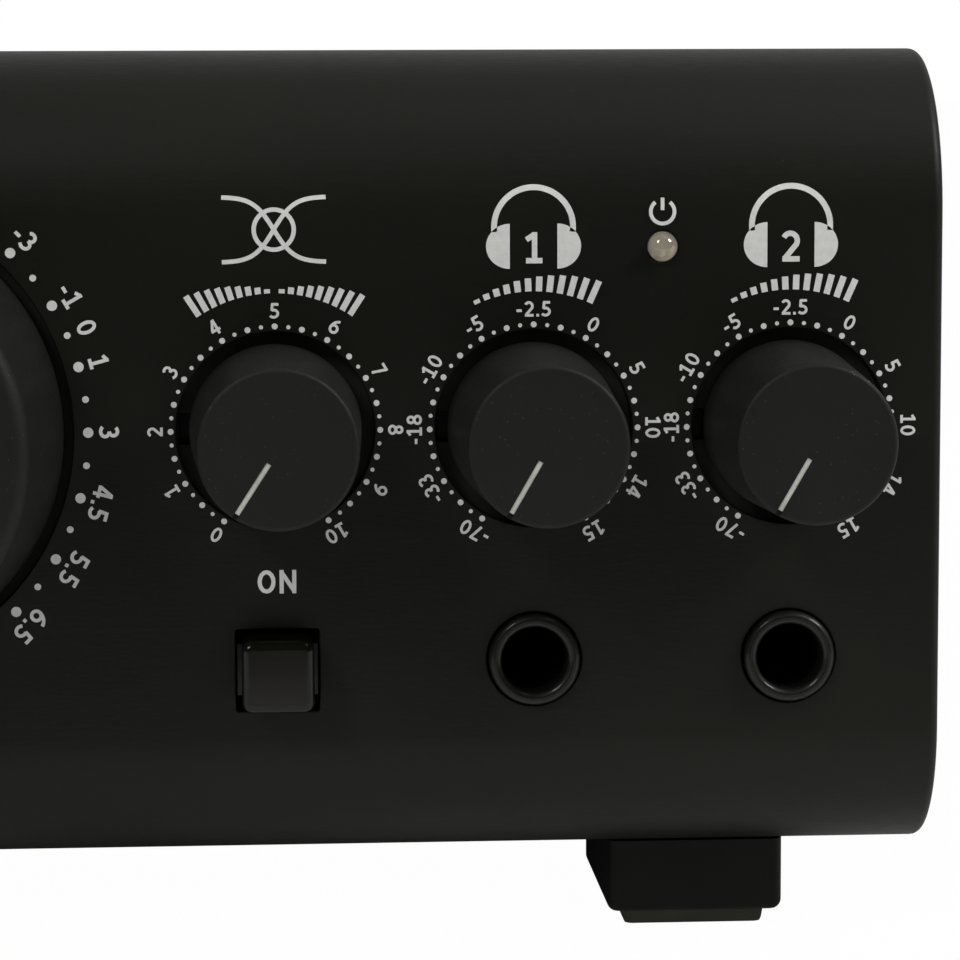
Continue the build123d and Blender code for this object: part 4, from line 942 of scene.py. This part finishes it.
def springTree():  # a coil along Y with a closed ring at each end
    lengths = ("Coil radius", "Length", "Turns", "Wire")
    sockets = {**dict.fromkeys(lengths, "Float"), "Start": "Vector", "Finish": "Material"}
    tree, ids = newTree("returnSpring", sockets)
    source = addNode(tree, "NodeGroupInput").outputs
    radius, steps = source["Coil radius"], spring["stepsPerTurn"]
    rise = maths(tree, "SUBTRACT", source["Length"], source["Wire"])
    coil = addNode(tree, "GeometryNodeCurveSpiral", {
        "Resolution": steps, "Rotations": source["Turns"], "Start Radius": radius, "End Radius": radius,
        "Height": rise,
    })
    ring = addNode(tree, "GeometryNodeCurvePrimitiveCircle", {"Resolution": steps, "Radius": radius})
    top = addNode(tree, "ShaderNodeCombineXYZ", {2: rise})
    farRing = addNode(tree, "GeometryNodeTransform", {"Geometry": ring, "Translation": top})
    joined = addNode(tree, "GeometryNodeJoinGeometry")
    for part in (coil, ring, farRing):
        tree.links.new(part.outputs[0], joined.inputs[0])
    wireRadius = maths(tree, "MULTIPLY", source["Wire"], 0.5)
    section = addNode(tree, "GeometryNodeCurvePrimitiveCircle", {
        "Resolution": spring["sides"], "Radius": wireRadius,
    })
    tube = addNode(tree, "GeometryNodeCurveToMesh", {
        "Curve": joined, "Profile Curve": section, "Fill Caps": True,
    })
    laid = addNode(tree, "GeometryNodeTransform", {
        "Geometry": tube, "Translation": source["Start"], "Rotation": (-math.pi / 2, 0, 0),
    })
    smooth = addNode(tree, "GeometryNodeSetShadeSmooth", {0: laid})
    endTree(tree, smooth, source["Finish"])
    return tree, ids


def makeSprings():
    coilTree, steel = springTree(), finishes["springSteel"]
    for name in buttonNames:
        node, joint = name.replace("_button", "_spring"), name.replace("_button", "_push")
        low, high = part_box(node)
        at, length = middle(name), high.y - low.y
        mesh = grown(*coilTree, {
            "Coil radius": (high.x - low.x - spring["wire"]) / 2,
            "Length": length,
            "Turns": spring["turns"],
            "Wire": spring["wire"],
            "Start": (at.x, low.y + spring["wire"] / 2, at.z),
            "Finish": steel,
        })
        coil = addPiece(node + "Coil", mesh, steel, bodyOf(node), [node], False)
        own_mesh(coil)


makeSprings()
print("springs made")

# power lamp: clear lens over a small bright cup

lamp = {
    "radius": 1.48 * mm,
    "sides": 48,
    "domeSteps": 12,
    "tail": 6.2 * mm,  # dome's tip to the flange
    "flange": (0.4 * mm, 1.0 * mm),
    "cupMouth": 0.95,  # share of the radius, from the dome's tip
    "cupRadius": 1.15 * mm,
    "cupDepth": 0.9 * mm,
    "cupFloor": 0.5 * mm,
    "cupWall": 0.1 * mm,
    "cupBase": 0.8 * mm,
    "cupSides": 40,
}


def makeLamp():
    at, tip = (lampAt.x, lampAt.z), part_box("power_led")[0].y
    radius, steps = lamp["radius"], lamp["domeSteps"]
    turns = [math.pi / 2 * i / steps for i in range(steps + 1)]
    profile = [(radius * math.sin(t), tip + radius * (1 - math.cos(t))) for t in turns]
    tail, (rim, thick) = tip + lamp["tail"], lamp["flange"]
    profile += [(radius, tail), (radius + rim, tail), (radius + rim, tail + thick), (0, tail + thick)]
    lens = lathe("lampLens", profile, at, lamp["sides"])
    addPiece("lampLens", lens, finishes["lampLens"], "case", ["power_led"])
    mouth = tip + radius * lamp["cupMouth"]
    floor = mouth + lamp["cupDepth"]
    back, outer = floor + lamp["cupBase"], lamp["cupRadius"] + lamp["cupWall"]
    cup = [(0, floor), (lamp["cupFloor"], floor), (lamp["cupRadius"], mouth)]
    cup += [(outer, mouth), (outer, back), (0, back)]
    cupMesh = lathe("lampCup", cup, at, lamp["cupSides"])
    addPiece("lampCup", cupMesh, finishes["lampCup"], "case")


makeLamp()
print("lamp made")

# headphone sockets: noses with a rounded lip over a dark bore

nose = {
    "radius": 4.445 * mm,
    "bore": 3.225 * mm,
    "reach": 1.11 * mm,
    "inside": 2.0 * mm,
    "lipSteps": 14,
    "sides": 96,
}


def makeSocketNoses():
    lip = (nose["radius"] - nose["bore"]) / 2
    mid = (nose["radius"] + nose["bore"]) / 2
    lipMiddle = frontY - nose["reach"] + lip
    back = frontY + nose["inside"]
    turns = [math.pi * i / nose["lipSteps"] for i in range(nose["lipSteps"] + 1)]
    profile = [(nose["bore"], back)]
    profile += [(mid - lip * math.cos(t), lipMiddle - lip * math.sin(t)) for t in turns]
    profile += [(nose["radius"], back), (nose["bore"], back)]
    for i, x in enumerate(socketColumns, 1):
        ring = lathe("socketNose", profile, (x, socketRow), nose["sides"])
        addPiece(f"socketNose{i}", ring, finishes["noseBlack"], "case")


makeSocketNoses()
print("socket noses made")

# every other construction node takes its finish, the ones in sight with rounded edges

dressed = {  # finish, slot and, for some, how far the edges are rounded
    "side_panel_left": ("casePaint", "case_paint", 0.15),
    "side_panel_right": ("casePaint", "case_paint", 0.15),
    "rear_panel": ("casePaint", "case_paint"),
    "chassis_tray": ("insidePaint", "zinc_steel"),
    "case_screws": ("blackScrew", "black_screw"),
    "connector_screws": ("blackScrew", "black_screw"),
    "feet": ("footPlastic", "foot_plastic"),
    "foot_pads": ("footRubber", "foot_rubber", 0.4),
    "phones_jacks": ("boreBlack", "gloss_black"),
    "jack_contacts": ("contactGold", "contact_gold"),
    "xlr_outputs": ("socketBlack", "socket_black"),
    "xlr_inputs": ("socketBlack", "socket_black"),
    "xlr_pins": ("contactGold", "contact_gold"),
    "phono_cores": ("coreWhite", "core_white"),
    "phono_sleeves": ("nickel", "nickel"),
    "inlet_pins": ("nickel", "nickel", 0.1),
    "mains_inlet": ("inletPlastic", "inlet_plastic"),
    "fuse_drawer": ("inletPlastic", "inlet_plastic"),
    "mains_rocker": ("rockerPlastic", "rocker_plastic"),
    "control_nuts": ("turnedSteel", "turned_steel"),
    "control_washers": ("turnedSteel", "turned_steel"),
    "volume_control": ("controlBlack", "control_metal"),
    "small_controls": ("controlBlack", "control_metal"),
    "filter_capacitors": ("capacitorSleeve", "capacitor_sleeve"),
    "transformer": ("windingTape", "winding_tape"),
}
for node, (look, slot, *edgeRound) in dressed.items():
    dressNode(node, finishes[look], slot, *edgeRound)

plain = {
    "board_screws": "zincSteel", "board_standoffs": "zincSteel", "button_lamps": "redLamp",
    "button_switches": "switchPlastic", "crossfeed_shaft": "turnedSteel", "foot_screws": "zincSteel",
    "front_board": "boardGreen", "fuse": "fuseGlass", "heat_sink": "blackAluminium",
    "main_board": "boardGreen", "phones_1_shaft": "turnedSteel", "phones_2_shaft": "turnedSteel",
    "transformer_bolt": "zincSteel", "transformer_plate": "zincSteel", "volume_shaft": "turnedSteel",
}
for node, obj in frame["nodes"].items():
    look = plain.get(node)
    if look and not obj.hide_render:
        obj.data.materials.clear()
        obj.data.materials.append(finishes[look])
print("nodes dressed")

# floor, light and camera

studio = {
    "floorHalf": 6.0,
    "floorFront": -0.28,  # the paper's front edge lies just outside the picture
    "floorTone": (230, 230, 228),
    "floorRough": 0.9,
    "floorSpecular": 0.1,
    "floorGlow": 0.985,
    "aim": 0.04,  # the lamps face the front a little to the right of its middle
    "leftBox": ((-0.68, -0.87, 0.92), 0.4, 6.6),  # place, size and power
    "rightBox": ((1.08, -0.52, 0.9), 0.4, 11.5),
    "topBox": ((0.4, -0.3, 1.35), 0.9, 2.1),
    "ambient": 0.42,
    "roomAxis": (-0.18, -1.0, -0.02),  # the way to the dark end of the room
    "roomFade": (0.35, -1.0),
    "roomFront": 0.006,
    "roomBack": 0.65,
}


def makeFloor():
    half, front = studio["floorHalf"], studio["floorFront"]
    corners = [(-half, front, 0), (half, front, 0), (half, half, 0), (-half, half, 0)]
    mesh = bpy.data.meshes.new("floor")
    mesh.from_pydata(corners, [], [(0, 1, 2, 3)])
    material, tree = newMaterial("floorPaper")
    paper = tree.nodes["Principled BSDF"]
    setInputs(tree, paper, {
        "Base Color": (*tone(*studio["floorTone"]), 1), "Roughness": studio["floorRough"],
        "Specular IOR Level": studio["floorSpecular"],
    })
    seen = addNode(tree, "ShaderNodeLightPath").outputs["Is Camera Ray"]
    share = maths(tree, "MULTIPLY", seen, studio["floorGlow"])
    mix = addNode(tree, "ShaderNodeMixShader", {0: share, 1: paper, 2: addNode(tree, "ShaderNodeEmission")})
    setInputs(tree, tree.nodes["Material Output"], {"Surface": mix})
    mesh.materials.append(material)
    linked("floor", mesh)


def makeLight(name, place, size, power):
    data = bpy.data.lights.new(name, "AREA")
    data.shape = "SQUARE"
    data.size = size
    data.energy = power
    light = linked(name, data)
    target = Vector((studio["aim"], frontY, knobRow))
    light.location = place
    light.rotation_mode = "QUATERNION"
    light.rotation_quaternion = (target - light.location).to_track_quat("-Z", "Y")


def makeWorld():  # white to the camera; to reflections a white sweep behind and a dark room in front
    world = bpy.data.worlds.new("studio")
    bpy.context.scene.world = world
    world.use_nodes = True
    tree = world.node_tree
    tree.nodes.clear()
    place = addNode(tree, "ShaderNodeTexCoord").outputs["Generated"]
    facing = addNode(
        tree, "ShaderNodeVectorMath", {0: place, 1: Vector(studio["roomAxis"]).normalized()},
        operation="DOT_PRODUCT",
    )
    room = addNode(tree, "ShaderNodeMapRange", {
        "Value": facing.outputs["Value"],
        "From Min": studio["roomFade"][0],
        "From Max": studio["roomFade"][1],
        "To Min": studio["roomFront"],
        "To Max": studio["roomBack"],
    }, interpolation_type="SMOOTHSTEP")
    path = addNode(tree, "ShaderNodeLightPath").outputs
    seen = maths(tree, "MAXIMUM", path["Is Camera Ray"], path["Is Transmission Ray"])
    white = {"Color": (1, 1, 1, 1)}
    backdrop = addNode(tree, "ShaderNodeBackground", white)
    reflected = addNode(tree, "ShaderNodeBackground", {"Color": room})
    ambient = addNode(tree, "ShaderNodeBackground", {**white, "Strength": studio["ambient"]})
    lit = addNode(tree, "ShaderNodeMixShader", {0: path["Is Glossy Ray"], 1: ambient, 2: reflected})
    shown = addNode(tree, "ShaderNodeMixShader", {0: seen, 1: lit, 2: backdrop})
    addNode(tree, "ShaderNodeOutputWorld", {"Surface": shown})


camera = {
    "place": (38.391 * mm, -467.184 * mm, 88.566 * mm),
    "yaw": 3.7581,  # degrees
    "pitch": 6.4948,
    "roll": 0.1805,
    "lens": 141.67,
    "sensor": 36.0,
    "clip": (0.01, 50.0),
}


def makeCamera():
    data = bpy.data.cameras.new("camera")
    data.lens = camera["lens"]
    data.sensor_width = camera["sensor"]
    data.clip_start, data.clip_end = camera["clip"]
    eye = linked("camera", data)
    yaw, pitch, roll = (math.radians(camera[k]) for k in ("yaw", "pitch", "roll"))
    ahead = Vector((math.sin(yaw) * math.cos(pitch), math.cos(yaw) * math.cos(pitch), -math.sin(pitch)))
    right = Vector((math.cos(yaw), -math.sin(yaw), 0))
    down = ahead.cross(right)
    turnedRight = math.cos(roll) * right + math.sin(roll) * down
    turnedDown = math.cos(roll) * down - math.sin(roll) * right
    turn = Matrix((turnedRight, -turnedDown, -ahead)).transposed()
    eye.matrix_world = Matrix.Translation(camera["place"]) @ turn.to_4x4()
    bpy.context.scene.camera = eye


makeFloor()
for boxName in ("leftBox", "rightBox", "topBox"):
    makeLight(boxName, *studio[boxName])
makeWorld()
makeCamera()
bpy.context.scene.view_settings.view_transform = "Standard"
print("studio ready")
